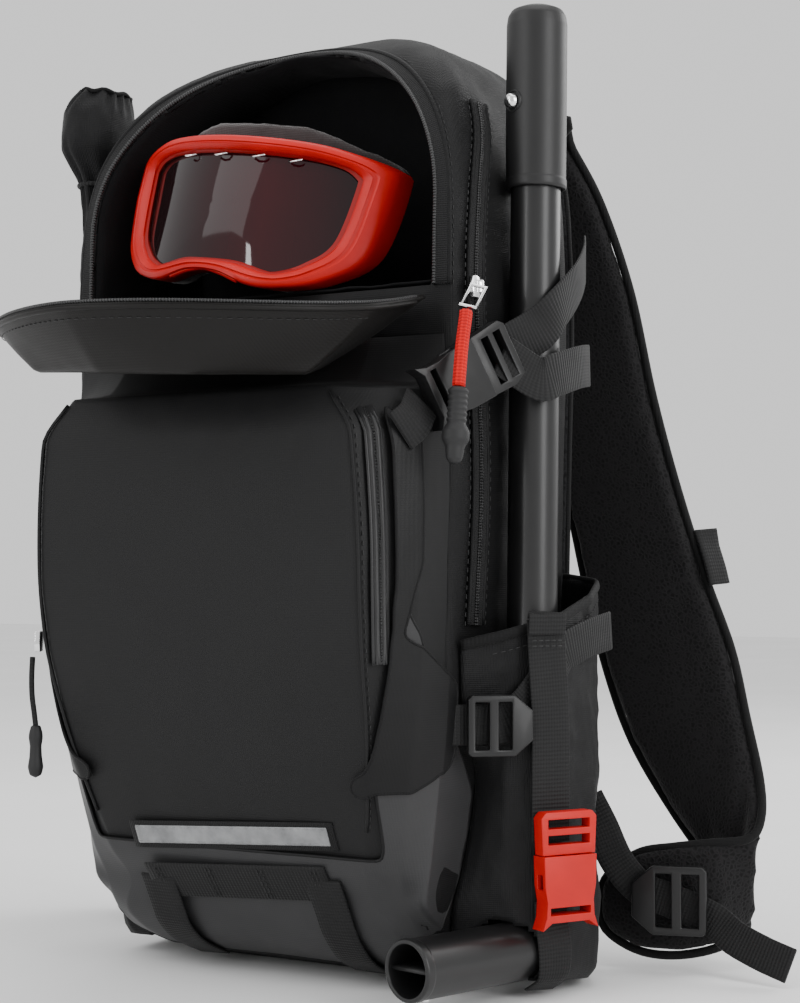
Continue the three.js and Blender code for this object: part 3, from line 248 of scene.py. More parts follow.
def moulded_material(name, slot, colour, rough, coat=0.0, texture=0.00006, scale=1400, vary=0.1):
    """Moulded plastic or rubber: fine spark-eroded grain, flow unevenness."""
    m = Nodes(name, slot)
    at = m.coords()
    flow = m.noise(at, 30, 4)
    m.colour(m.ramp(flow, [(0.3, shade(colour, 1 - vary)), (0.7, shade(colour, 1 + vary))]))
    m.roughness(m.noise(at, 200, 5), rough - 0.06, rough + 0.1)
    m.bump(m.noise(at, scale, 2), texture, 0.5)
    m.set(Coat_Weight=coat, Coat_Roughness=0.15, Specular_IOR_Level=0.35)
    return m.mat


def metal_material(name, slot, colour, rough, metallic=1.0, scratch=True, coat=0.0):
    m = Nodes(name, slot)
    at = m.coords()
    smudge = m.noise(at, 25, 5)
    fine = m.noise(at, 500, 3)
    m.colour(m.ramp(smudge, [(0.3, shade(colour, 0.85)), (0.7, shade(colour, 1.12))]))
    m.roughness(m.maths("ADD", m.maths("MULTIPLY", smudge, 0.6), m.maths("MULTIPLY", fine, 0.4)),
                max(0.02, rough - 0.06), rough + 0.1)
    if scratch:
        m.bump(m.wave(at, "Z", 0.0009, 2, 3), 0.00002, 0.3)
    m.set(Metallic=metallic, Coat_Weight=coat, Coat_Roughness=0.2)
    return m.mat


def mesh_cloth_material(name, slot, colour, cell=0.0026):
    """Spacer mesh: a net of small holes over foam. The holes are painted darker (painted shade) and the net lighter."""
    m = Nodes(name, slot)
    at = m.coords()
    node = m.add("TexVoronoi", feature="DISTANCE_TO_EDGE")
    node.inputs["Scale"].default_value = 1 / cell
    m.link(at, node.inputs["Vector"])
    holes = m.add("MapRange")
    holes.inputs["From Max"].default_value = 0.35
    m.link(node.outputs["Distance"], holes.inputs["Value"])
    patch = m.noise(at, 14, 4)
    # painted shade in the holes and a lighter net
    m.colour(m.ramp(holes.outputs[0], [(0.2, shade(colour, 1.6)), (0.9, shade(colour, 0.5))]))
    m.roughness(patch, 0.8, 0.98)
    first = m.bump(patch, 0.002, 0.5)
    flat = m.maths("SUBTRACT", 1.0, holes.outputs[0])
    m.bump(flat, 0.0004, 0.8, first)
    m.set(Sheen_Weight=0.05, Sheen_Roughness=0.5, Specular_IOR_Level=0.2)
    return m.mat


def lens_material():
    """Dark rose mirror tint with a painted highlight: colour runs across the lens along x, brightest rose a little
    right of its middle and dark at both ends.
    """
    m = Nodes("lens_tint_painted_highlight", "lens")
    at = m.coords()
    axes = m.add("SeparateXYZ")
    m.link(at, axes.inputs[0])
    along = m.add("MapRange")
    along.inputs["From Min"].default_value = -0.09
    along.inputs["From Max"].default_value = 0.075
    m.link(axes.outputs[0], along.inputs["Value"])
    mixed = m.maths("ADD", along.outputs[0], m.maths("MULTIPLY", m.noise(at, 12, 2), 0.15))
    # painted highlight: the bright rose stop at 0.7 stands for the lens's reflection; the darker stops are the tint
    m.colour(m.ramp(mixed, [(0.05, (0.008, 0.007, 0.007)), (0.35, (0.012, 0.003, 0.004)),
                            (0.7, (0.03, 0.002, 0.004)), (1.0, (0.008, 0.001, 0.002))]))
    m.roughness(m.noise(at, 300, 3), 0.03, 0.07)
    m.set(Coat_Weight=0.05, Coat_Roughness=0.03, Specular_IOR_Level=0.3)
    return m.mat


def reflective_material():
    m = Nodes("reflective_film", "reflective")
    at = m.coords()
    node = m.add("TexVoronoi")
    node.inputs["Scale"].default_value = 900
    m.link(at, node.inputs["Vector"])
    m.colour(m.ramp(m.noise(at, 90, 4), [(0.3, (0.16, 0.163, 0.168)), (0.7, (0.27, 0.275, 0.28))]))
    m.roughness(m.noise(at, 120, 3), 0.3, 0.5)
    m.bump(node.outputs["Distance"], 0.00015, 0.6)
    m.set(Sheen_Weight=0.4, Sheen_Roughness=0.3)
    return m.mat


MAT = {
    "shell": cloth_material("shell_nylon", "shell", (0.0055, 0.0055, 0.0058), 0.56, sheen=0.02),
    "pocket": cloth_material("pocket_nylon", "shell", (0.007, 0.007, 0.0074), 0.58, wrinkle=0.0022, crease_scale=34,
                             sheen=0.04),
    "coated": coated_material("laminate", "coated", (0.008, 0.008, 0.0083), 0.52),
    "wing": coated_material("wing_laminate", "coated", (0.005, 0.005, 0.0053), 0.46, wrinkle=0.0016),
    "boot": coated_material("boot_tarpaulin", "boot", (0.03, 0.03, 0.031), 0.42, coat=0.08),
    "lining": cloth_material("lining_tricot", "lining", (0.0045, 0.0045, 0.005), 0.9, wrinkle=0.0022, crease_scale=20,
                             sheen=0.02),
    "mesh": mesh_cloth_material("spacer_mesh", "mesh", (0.0065, 0.0062, 0.0066)),
    "pad": mesh_cloth_material("pad_mesh", "pad", (0.0085, 0.0085, 0.009), 0.0034),
    "binding": cloth_material("edge_binding", "mesh", (0.006, 0.006, 0.0062), 0.75, period=0.0016, sheen=0.04),
    "foam": cloth_material("foam_fleece", "foam", (0.034, 0.028, 0.028), 0.9, period=0.0014, mottle=0.35, sheen=0.25),
    "flap": coated_material("flap_laminate", "flap", (0.005, 0.0044, 0.004), 0.46, wrinkle=0.0004),
    "flap_inside": cloth_material("flap_lining", "flap", (0.006, 0.0055, 0.005), 0.85, sheen=0.03),
    "webbing": webbing_material("webbing_ribs", "webbing", (0.0095, 0.0095, 0.0098)),
    "tape": webbing_material("zip_tape", "zip", (0.007, 0.007, 0.0073), 0.0012),
    "coil": coil_material("zip_coil", "zip", (0.016, 0.016, 0.0165)),
    "sealed": coated_material("zip_laminate", "zip", (0.016, 0.016, 0.0165), 0.36, coat=0.2, wrinkle=0.0003),
    "thread": moulded_material("stitching", "shell", (0.018, 0.018, 0.0185), 0.6),
    "reflective": reflective_material(),
    "red": moulded_material("red_nylon", "red_plastic", (0.5, 0.0015, 0.0), 0.4),
    # darker copy of the red plastic for the goggle gasket in the frame's recess: painted shade
    "red_dark": moulded_material("red_nylon_painted_shade", "red_plastic", (0.26, 0.001, 0.0), 0.45),
    "red_cord": webbing_material("red_braid", "red_cord", (0.5, 0.0015, 0.001), 0.0018),
    "plastic": moulded_material("black_acetal", "plastic", (0.008, 0.008, 0.0083), 0.38, coat=0.05),
    "rubber": moulded_material("grey_rubber", "rubber", (0.012, 0.012, 0.0125), 0.55, texture=0.0001),
    "chrome": metal_material("bright_plating", "chrome", (0.8, 0.8, 0.8), 0.1),
    "shaft": metal_material("anodised_black", "shaft", (0.009, 0.009, 0.0093), 0.34, 0.2, coat=0.1),
    "shaft_dull": metal_material("anodised_dull", "shaft", (0.007, 0.007, 0.0073), 0.44, 0.15),
    "lens": lens_material(),
    "steel": metal_material("brushed_cylinder", "steel", (0.5, 0.51, 0.53), 0.3),
    "sheet": moulded_material("stiffener", "stay_sheet", (0.7, 0.7, 0.66), 0.5),
    "airbag": cloth_material("airbag_cloth", "airbag", (0.6, 0.12, 0.02), 0.7),
}


# ------------------------------------------------------------------ building helpers

def finish_piece(obj, material, body="pack", replaces=()):
    """Dress a new piece, ride it on its body and hide the CAD nodes it stands for."""
    obj.data.materials.clear()
    mats = material if isinstance(material, (list, tuple)) else [material]
    for key in mats:
        obj.data.materials.append(MAT[key])
    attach(obj, body)
    if replaces:
        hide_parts(*([replaces] if isinstance(replaces, str) else replaces))
    return obj


def new_object(name, points, faces, uvs=None, smooth=True):
    """Mesh object from working points in millimetres."""
    mesh = bpy.data.meshes.new(name)
    mesh.from_pydata([tuple(P(p)) for p in points], [], faces)
    if smooth:
        mesh.shade_smooth()
    if uvs is not None:
        layer = mesh.uv_layers.new(name="UVMap")
        for loop in mesh.loops:
            layer.data[loop.index].uv = uvs[loop.vertex_index]
    obj = bpy.data.objects.new(name, mesh)
    SCENE.collection.objects.link(obj)
    return obj


def grid_faces(rows, cols, closed_rows=False, closed_cols=False):
    faces = []
    for r in range(rows if closed_rows else rows - 1):
        for c in range(cols if closed_cols else cols - 1):
            r2, c2 = (r + 1) % rows, (c + 1) % cols
            faces.append((r * cols + c, r * cols + c2, r2 * cols + c2, r2 * cols + c))
    return faces


def recalc(obj):
    bm = bmesh.new()
    bm.from_mesh(obj.data)
    bmesh.ops.recalc_face_normals(bm, faces=bm.faces)
    bm.to_mesh(obj.data)
    bm.free()
    return obj


def smooth_path(points, step=3.0, closed=False):
    """Centripetal curve through points, sampled about every step millimetres."""
    pts = [Vector(p) for p in points]
    if closed:
        pts = [pts[-1]] + pts + [pts[0], pts[1]]
    else:
        pts = [pts[0] * 2 - pts[1]] + pts + [pts[-1] * 2 - pts[-2]]
    out = []
    for i in range(1, len(pts) - 2):
        p0, p1, p2, p3 = pts[i - 1:i + 3]
        n = max(1, round((p2 - p1).length / step))
        for k in range(n):
            t = k / n
            out.append(0.5 * ((2 * p1) + (p2 - p0) * t + (2 * p0 - 5 * p1 + 4 * p2 - p3) * t * t
                              + (3 * p1 - p0 - 3 * p2 + p3) * t * t * t))
    if not closed:
        out.append(pts[-2])
    return out


def sweep(name, path, outs, section, material, body="pack", replaces=(), closed=False, wobble=0.0, seed=0.0):
    """Sweeps a closed section of (across, out) points along a path. UV is along and across, in metres."""
    points, uvs, n = [], [], len(section)
    run = 0.0
    for i, p in enumerate(path):
        before = path[i - 1] if (i or closed) else path[0]
        after = path[(i + 1) % len(path)] if (i + 1 < len(path) or closed) else path[-1]
        along = (after - before).normalized()
        out = (outs[i] - along * outs[i].dot(along)).normalized()
        across = out.cross(along)
        if i:
            run += (p - path[i - 1]).length
        shake = wobble * noise.noise(V(run * 0.02, seed, 0)) if wobble else 0
        for s, t in section:
            points.append(p + across * s + out * (t + shake))
            uvs.append((run * 0.001, s * 0.001))
    faces = grid_faces(len(path), n, closed, True)
    if not closed:
        faces.append(tuple(range(n - 1, -1, -1)))
        faces.append(tuple(range((len(path) - 1) * n, len(path) * n)))
    obj = new_object(name, points, faces, uvs)
    recalc(obj)
    return finish_piece(obj, material, body, replaces)


def strap_section(width, thickness, bow=0.0):
    """Flat section with rounded selvedges."""
    w, t = width / 2, thickness / 2
    top = [(-w + 0.25, t * 0.55), (-w + 0.9, t), (-w * 0.5, t + bow * 0.7), (0, t + bow), (w * 0.5, t + bow * 0.7),
           (w - 0.9, t), (w - 0.25, t * 0.55), (w, 0)]
    bottom = [(w - 0.25, -t * 0.55), (w - 0.9, -t), (0, -t), (-w + 0.9, -t), (-w + 0.25, -t * 0.55), (-w, 0)]
    return top + bottom


def strap(name, stations, width, material="webbing", body="pack", replaces=(), thickness=1.5, step=2.5, wobble=0.5):
    """Webbing through [centre, outward direction] stations."""
    centres = [Vector(s[0]) for s in stations]
    path = smooth_path(centres, step)
    spread = []
    for i, (a, b) in enumerate(zip(centres, centres[1:])):
        n = max(1, round((b - a).length / step))
        for k in range(n):
            spread.append(Vector(stations[i][1]).normalized().lerp(Vector(stations[i + 1][1]).normalized(), k / n))
    spread.append(Vector(stations[-1][1]).normalized())
    return sweep(name, path, spread, strap_section(width, thickness), material, body, replaces,
                 wobble=wobble, seed=sum(centres[0]))


def tube(name, points, radius, material, body="pack", replaces=(), step=2.5, sides=10, closed=False, up=(0, 0, 1),
         smooth=True):
    path = smooth_path(points, step, closed) if smooth else [Vector(p) for p in points]
    section = [(radius * math.cos(2 * math.pi * k / sides), radius * math.sin(2 * math.pi * k / sides))
               for k in range(sides)]
    return sweep(name, path, [Vector(up)] * len(path), section, material, body, replaces, closed)


def copy_of(*nodes, name=None):
    """A new object with copies of the CAD nodes' meshes."""
    bm = bmesh.new()
    for n in nodes:
        bm.from_mesh(NODES[n].data)
    bmesh.ops.remove_doubles(bm, verts=bm.verts, dist=1e-6)
    mesh = bpy.data.meshes.new(name or nodes[0] + "_detail")
    bm.to_mesh(mesh)
    bm.free()
    obj = bpy.data.objects.new(mesh.name, mesh)
    SCENE.collection.objects.link(obj)
    return obj


def apply_modifiers(obj):
    dg = bpy.context.evaluated_depsgraph_get()
    mesh = bpy.data.meshes.new_from_object(obj.evaluated_get(dg))
    obj.modifiers.clear()
    obj.data = mesh
    return obj


def bevelled(node, material, width=0.7, body=None, segments=3):
    """Hard CAD piece with rounded edges."""
    obj = copy_of(node)
    bm = bmesh.new()
    bm.from_mesh(obj.data)
    bmesh.ops.dissolve_limit(bm, angle_limit=math.radians(1.5), verts=bm.verts, edges=bm.edges)
    bm.to_mesh(obj.data)
    bm.free()
    bevel = obj.modifiers.new("bevel", "BEVEL")
    bevel.width, bevel.segments = width * 0.001, segments
    bevel.limit_method, bevel.angle_limit = "ANGLE", math.radians(28)
    bevel.use_clamp_overlap = True
    bevel.harden_normals = False
    apply_modifiers(obj)
    obj.data.shade_smooth()
    smooth_by_angle(obj, 40)
    return finish_piece(obj, material, body or body_of(node), node)


def smooth_by_angle(obj, degrees):
    """Sharp edges above an angle, so flat faces stay flat."""
    bm = bmesh.new()
    bm.from_mesh(obj.data)
    limit = math.radians(degrees)
    for edge in bm.edges:
        if len(edge.link_faces) == 2 and edge.calc_face_angle(0) > limit:
            edge.smooth = False
    bm.to_mesh(obj.data)
    bm.free()


def body_of(node):
    return next(b for b, ns in frame["record"]["behaviour"]["bodies"].items() if node in ns)


def fbm(p, scale, octaves=3):
    return noise.fractal(p * (1 / scale), 1.0, 2.0, octaves)


def displace(obj, amount, scale, seed=0.0, where=None, octaves=3):
    """Moves points along their normals by smooth noise; amount and scale in millimetres."""
    mesh = obj.data
    normals = [v.normal.copy() for v in mesh.vertices]
    for v, n in zip(mesh.vertices, normals):
        p = v.co * 1000
        k = where(p - SHIFT) if where else 1
        if k:
            v.co += n * (amount * k * 0.001 * fbm(p + V(seed, seed * 1.7, seed * 0.3), scale, octaves))
    mesh.update()
    return obj


def padded_copy(node, material, voxel=4.5, pressure=4, cap=7, shrink=1.5, frames=20, name=None,
                wrinkles=0.5):
    """Cushion made by a cloth simulation of a slightly shrunken copy of the CAD solid."""
    obj = copy_of(node, name=name)
    body = body_of(node)
    mod = obj.modifiers.new("remesh", "REMESH")
    mod.mode, mod.voxel_size, mod.adaptivity = "VOXEL", voxel * 0.001, 0
    apply_modifiers(obj)
    mesh = obj.data
    mesh.update()
    for v, n in zip(mesh.vertices, [v.normal.copy() for v in mesh.vertices]):
        v.co -= n * shrink * 0.001
    rest = [v.co.copy() for v in mesh.vertices]
    cloth = obj.modifiers.new("cloth", "CLOTH")
    cloth.settings.use_pressure = True
    cloth.settings.uniform_pressure_force = pressure
    cloth.settings.effector_weights.gravity = 0
    cloth.settings.mass = 0.3
    cloth.settings.tension_stiffness = cloth.settings.compression_stiffness = 25
    cloth.settings.bending_stiffness = 1.5
    for f in range(1, frames + 1):
        SCENE.frame_set(f)
    apply_modifiers(obj)
    SCENE.frame_set(1)
    for v, r in zip(obj.data.vertices, rest):
        d = v.co - r
        if d.length > cap * 0.001:
            v.co = r + d.normalized() * cap * 0.001
    sub = obj.modifiers.new("smooth", "SUBSURF")
    sub.levels = sub.render_levels = 1
    apply_modifiers(obj)
    obj.data.shade_smooth()
    displace(obj, wrinkles, 26, seed=3)
    finish_piece(obj, material, body, node)
    return obj


# ------------------------------------------------------------------ forms of the bag

class Profile:
    """Stations of numbers against height, joined by monotone cubic curves."""

    def __init__(self, rows):
        self.z = [r[0] for r in rows]
        self.columns = list(zip(*[r[1:] for r in rows]))
        self.slopes = [self._slopes(c) for c in self.columns]

    def _slopes(self, c):
        d = [(c[i + 1] - c[i]) / (self.z[i + 1] - self.z[i]) for i in range(len(c) - 1)]
        m = [d[0]]
        for a, b in zip(d, d[1:]):
            m.append(0 if a * b <= 0 else 2 * a * b / (a + b))
        return m + [d[-1]]

    def at(self, z):
        z = min(max(z, self.z[0]), self.z[-1])
        i = max(0, min(len(self.z) - 2, next((k - 1 for k, v in enumerate(self.z) if v >= z), 0)))
        h = self.z[i + 1] - self.z[i]
        t = (z - self.z[i]) / h
        out = []
        for c, m in zip(self.columns, self.slopes):
            out.append((2 * t ** 3 - 3 * t * t + 1) * c[i] + (t ** 3 - 2 * t * t + t) * h * m[i]
                       + (3 * t * t - 2 * t ** 3) * c[i + 1] + (t ** 3 - t * t) * h * m[i + 1])
        return out


# height, half width, front, back, corner radius
BODY_ROWS = [
    (5, 90, 20, 76, 20), (9, 99, 7, 82, 20), (14, 104, -6, 86, 22), (20, 107, -19, 88, 22),
    (27, 109.5, -30, 88, 20), (38, 112, -40, 88, 18), (54, 115.5, -47, 88, 16), (116, 122, -47, 88, 9),
    (160, 126, -47, 88, 9), (200, 128, -47, 88, 9), (300, 130.5, -47, 88, 9), (384, 132.5, -47, 88, 9),
    (443, 130.5, -45.5, 88, 11), (472, 127, -42, 88, 14), (500, 120, -33, 88, 16), (518, 109, -24, 84, 18),
    (532, 95, -12, 74, 18), (542, 78, 3, 64, 14), (548, 58, 15, 54, 10),
]
BODY = Profile(BODY_ROWS)

# height, face, crease half width, bulge, bulge y, rear x, rear y of the front surfaces
FRONT = Profile([(z, front, half - r, half - 0.3 * r, front + 0.3 * r, half, front + r)
                 for z, half, front, back, r in BODY_ROWS if z < 50] + [
    (60, -51, 84, 103, -49.4, 113, -47.4), (78, -63.5, 88, 106, -57, 116, -47.4),
    (116, -77, 97, 113, -64, 120.5, -47.4), (152, -88, 103.5, 119, -68, 124, -47.4),
    (200, -100.5, 108, 124, -72, 127, -47.4), (240, -104.5, 109, 125.5, -73, 128.5, -47.4),
    (308, -106, 105, 124, -73, 130, -47.4), (334, -101, 88, 113, -72, 130, -47.4),
    (339, -72, 86, 111, -58, 129, -47.4), (364, -53, 84, 109, -49.6, 127, -47.4)])


def fillet(corners, edges, arc=7):
    """Open polyline through [x, y, radius] corners; every edge gets its own number of spans."""
    pts = [Vector(c[:2]) for c in corners]
    out = []
    leave = pts[0]
    for i in range(1, len(pts)):
        arrive = pts[i]
        if i < len(pts) - 1 and corners[i][2] > 0:
            a, b = (pts[i - 1] - pts[i]), (pts[i + 1] - pts[i])
            la, lb = a.length, b.length
            a.normalize()
            b.normalize()
            half = math.acos(max(-1, min(1, a.dot(b)))) / 2
            cutoff = min(corners[i][2] / max(math.tan(half), 1e-3), la * 0.45, lb * 0.45)
            arrive, onward = pts[i] + a * cutoff, pts[i] + b * cutoff
        else:
            onward = pts[i]
        n = edges[i - 1]
        for k in range(n):
            out.append(leave.lerp(arrive, k / n))
        if i < len(pts) - 1:
            for k in range(arc):
                t = k / arc
                out.append((arrive * (1 - t) ** 2) + (pts[i] * 2 * t * (1 - t)) + (onward * t * t))
        leave = onward
    out.append(pts[-1])
    return out


def front_half(z):
    """Right half of the outline at a height, from the back corner round to the middle of the front."""
    half = BODY.at(z)[0]
    face, crease, bulge, bulge_y, rear, rear_y = FRONT.at(z)
    flat = [(half, 86, 0), (rear, rear_y, 2), (bulge, bulge_y, 7), (crease, face, 7), (0, face, 0)]
    return [V(p.x, p.y, z) for p in fillet(flat, [44, 10, 16, 30])]


FLANK_SPAN = 44 + 7      # points of front_half that lie on the flank


def body_ring(z):
    half, front, back, r = BODY.at(z)
    r = min(r, half - 1)
    rb = 8
    right = fillet([(0, front, 0), (half, front, r), (half, back, rb), (0, back, 0)], [26, 30, 26])
    loop = right + [V(-p.x, p.y) for p in reversed(right[1:-1])]
    return [V(p.x, p.y, z) for p in loop]


def in_arch(x, z, grow=0.0):
    half, floor, spring, rise = 120 + grow, 391 - grow, 440, 101 + grow
    if z < floor or abs(x) > half:
        return False
    return z <= spring or (x / half) ** 2 + ((z - spring) / rise) ** 2 < 1


def arch_path(grow=0.0, step=4.0, closed=True):
    """Outline of the goggle opening, anticlockwise from its lower right corner."""
    half, floor, rise = 120 + grow, 391 - grow, 101 + grow
    pts = [V(half, 0, floor + (440 - floor) * k / 12) for k in range(12)]
    pts += [V(half * math.cos(a), 0, 440 + rise * math.sin(a)) for a in
            [math.pi * k / 72 for k in range(73)]]
    pts += [V(-half, 0, 440 - (440 - floor) * (k + 1) / 12) for k in range(12)]
    if closed:
        n = int(2 * half / step)
        pts += [V(-half + 2 * half * k / n, 0, floor) for k in range(1, n)]
    return pts


def relax_border(bm, rounds=6, pull=0.5):
    """Smooths the open edge of a patch."""
    border = [e for e in bm.edges if e.is_boundary]
    near = {}
    for e in border:
        a, b = e.verts
        near.setdefault(a, []).append(b)
        near.setdefault(b, []).append(a)
    for _ in range(rounds):
        moved = {v: v.co.lerp((n[0].co + n[1].co) / 2, pull) for v, n in near.items() if len(n) == 2}
        for v, co in moved.items():
            v.co = co


def thicken(obj, thickness, offset=-1):
    solid = obj.modifiers.new("thickness", "SOLIDIFY")
    solid.thickness, solid.offset = thickness * 0.001, offset
    solid.use_even_offset = False
    return apply_modifiers(obj)


def wrinkle_flank(p):
    """Creases on the open sides, few on the front and none under the boot, on the floor or behind."""
    if p.z < 30 or p.y > 80:
        return 0
    if p.y < 4 and p.z < 240:
        return 0.1
    return 1.0 if abs(p.x) > 70 else 0.35


def make_body():
    levels = [5, 6.5, 9, 11, 14, 17, 20, 23, 27, 32] + [38 + 4 * k for k in range(115)]
    levels = [z for z in levels if z < 497] + [497 + 2.5 * k for k in range(20)] + [546, 547.2, 548]
    rings = [body_ring(z) for z in levels]
    count = len(rings[0])
    points = [p for ring in rings for p in ring]
    faces = grid_faces(len(rings), count, False, True)
    top = len(points)
    for k in (0.66, 0.33, 0.0):
        base = top - count if k == 0.66 else len(points) - count
        centre = sum(rings[-1], V(0, 0, 0)) / count
        if k > 0:
            points += [centre.lerp(p, k) + V(0, 0, 1.0 * (1 - k)) for p in rings[-1]]
            faces += [(base + c, base + (c + 1) % count, base + count + (c + 1) % count, base + count + c)
                      for c in range(count)]
        else:
            points.append(centre + V(0, 0, 1.2))
            faces += [(base + c, base + (c + 1) % count, len(points) - 1) for c in range(count)]
    faces.append(tuple(range(count - 1, -1, -1)))
    whole = BVHTree.FromPolygons([tuple(p) for p in points], faces)
    keep = []
    for f in faces:
        c = sum((points[i] for i in f), V(0, 0, 0)) / len(f)
        if not (c.y < 20 and in_arch(c.x, c.z, -0.5)):
            keep.append(f)
    obj = new_object("bag_body", points, keep)
    bm = bmesh.new()
    bm.from_mesh(obj.data)
    bmesh.ops.recalc_face_normals(bm, faces=bm.faces)
    bmesh.ops.delete(bm, geom=[v for v in bm.verts if not v.link_faces], context="VERTS")
    outline = [P(p) for p in arch_path(0, 2)]
    for v in bm.verts:
        if v.is_boundary:
            near = min(outline, key=lambda q: (q.x - v.co.x) ** 2 + (q.z - v.co.z) ** 2)
            v.co.x, v.co.z = near.x, near.z
    bm.to_mesh(obj.data)
    bm.free()
    displace(obj, 1.5, 55, 2, wrinkle_flank)
    displace(obj, 0.5, 17, 7, wrinkle_flank)
    thicken(obj, 2.6)
    finish_piece(obj, "shell", "pack", "main_shell")
    return whole


BODY_TREE = make_body()


BAG_MIDDLE = V(0, 30, 300)


def on_body(x, z, lift=0.0):
    """Point on the front of the bag at (x, z), and the outward normal there."""
    hit, normal, _, _ = BODY_TREE.ray_cast(V(x, -300, z), V(0, 1, 0))
    if hit is None:
        hit, normal, _, _ = BODY_TREE.find_nearest(V(x, -40, z))
    if normal.dot(hit - BAG_MIDDLE) < 0:
        normal = -normal
    return hit + normal * lift, normal


def beside_arch(grow, lift):
    """Points and normals on the bag, a distance outside the edge of the goggle opening."""
    places, normals = [], []
    for p in arch_path(0.0, 4, closed=False):
        edge, _ = on_body(p.x, p.z)
        away = V(p.x / 120 ** 2, 0, max(0.0, p.z - 440) / 101 ** 2).normalized()
        hit, normal, _, _ = BODY_TREE.find_nearest(edge + away * grow)
        if normal.dot(hit - BAG_MIDDLE) < 0:
            normal = -normal
        places.append(hit)
        normals.append(normal)
    for _ in range(6):
        for line in (places, normals):
            line[1:-1] = [(a + b * 2 + c) / 4 for a, b, c in zip(line, line[1:], line[2:])]
    return [p + n.normalized() * lift for p, n in zip(places, normals)], [n.normalized() for n in normals]


# ------------------------------------------------------------------ goggle opening

def make_opening():
    """Lining of the goggle pocket, with the zip and piping round its mouth."""
    mouth = arch_path(-1.5, 5)
    depth_steps = 14
    points, count = [], len(mouth)
    for k in range(depth_steps):
        s = k / (depth_steps - 1)
        for p in mouth:
            y0 = on_body(p.x * 0.985, min(p.z, 537), 0)[0].y + 1.5
            centre = V(0, 0, 450)
            q = p.lerp(V(centre.x, 0, centre.z), 0.03 * math.sin(math.pi * s) + 0.02 * s)
            y = y0 + (44.5 - y0) * s
            points.append(V(q.x, y, max(q.z, 394)))
    faces = grid_faces(depth_steps, count, False, True)
    start = (depth_steps - 1) * count
    centre = V(0, 45.2, 450)
    for k in range(1, 12):
        t = 1 - k / 12
        for i in range(count):
            p = centre.lerp(points[start + i], t)
            points.append(V(p.x, p.y, p.z))
    faces += [(start + r * count + c, start + r * count + (c + 1) % count,
               start + (r + 1) * count + (c + 1) % count, start + (r + 1) * count + c)
              for r in range(11) for c in range(count)]
    points.append(centre)
    last = len(points) - 1 - count
    faces += [(last + c, last + (c + 1) % count, len(points) - 1) for c in range(count)]
    obj = new_object("pocket_lining", points, faces)
    bm = bmesh.new()
    bm.from_mesh(obj.data)
    bmesh.ops.recalc_face_normals(bm, faces=bm.faces)
    bm.normal_update()
    bm.to_mesh(obj.data)
    bm.free()
    displace(obj, 2.2, 48, 11, lambda p: 1.0 if p.y > -10 else 0.25)
    displace(obj, 0.6, 16, 13)
    thicken(obj, 1.2, 1)
    finish_piece(obj, "lining", "pack", "goggle_pocket")

    path, outs = beside_arch(4.6, 0.9)
    sweep("opening_zip_tape", path, outs, strap_section(8.5, 1.1), "tape", "pack", "goggle_zip")
    coil, _ = beside_arch(0.8, 1.2)
    fine = smooth_path(coil, 1.6)
    sweep("opening_zip_coil", fine, [V(0, -1, 0.2)] * len(fine),
          [(1.25 * math.cos(a), 1.25 * math.sin(a)) for a in [math.pi * k / 4 for k in range(8)]], "coil")
    welt, _ = beside_arch(9.6, 1.0)
    tube("opening_welt", welt, 1.5, "shell", step=3, up=(0, -1, 0), sides=8)
    seam, seam_outs = beside_arch(13.0, 0.7)
    stitches("opening_stitches", seam, seam_outs)


def stitches(name, path, outs, length=2.8, gap=1.5, radius=0.28, body="pack", material="thread", step=1.0):
    """A row of short threads along a path."""
    fine = smooth_path(path, step)
    lookup = []
    for i, (a, b) in enumerate(zip(path, path[1:])):
        n = max(1, round((b - a).length / step))
        lookup += [outs[i].lerp(outs[i + 1], k / n) for k in range(n)]
    lookup.append(outs[-1])
    points, faces = [], []
    run, start, i = 0.0, None, 0
    pitch = length + gap
    marks = []
    for i in range(1, len(fine)):
        run += (fine[i] - fine[i - 1]).length
        if start is None or run >= pitch:
            start, run = i, 0.0
            marks.append(i)
    for i in marks:
        along = (fine[min(i + 1, len(fine) - 1)] - fine[i - 1]).normalized()
        out = (lookup[i] - along * lookup[i].dot(along)).normalized()
        across = out.cross(along)
        base = len(points)
        for s, k in ((-0.5, 0.15), (-0.38, 0.9), (0.38, 0.9), (0.5, 0.15)):
            for j in range(5):
                a = 2 * math.pi * j / 5
                points.append(fine[i] + along * (s * length) + across * (radius * 1.2 * k * math.cos(a))
                              + out * (radius * k * math.sin(a)))
        faces += [tuple(base + v for v in f) for f in grid_faces(4, 5, False, True)]
        faces.append(tuple(base + 4 - j for j in range(5)))
        faces.append(tuple(base + 15 + j for j in range(5)))
    if not points:
        return None
    return finish_piece(new_object(name, points, faces), material, body)


make_opening()


# ------------------------------------------------------------------ front pocket, boot and wings

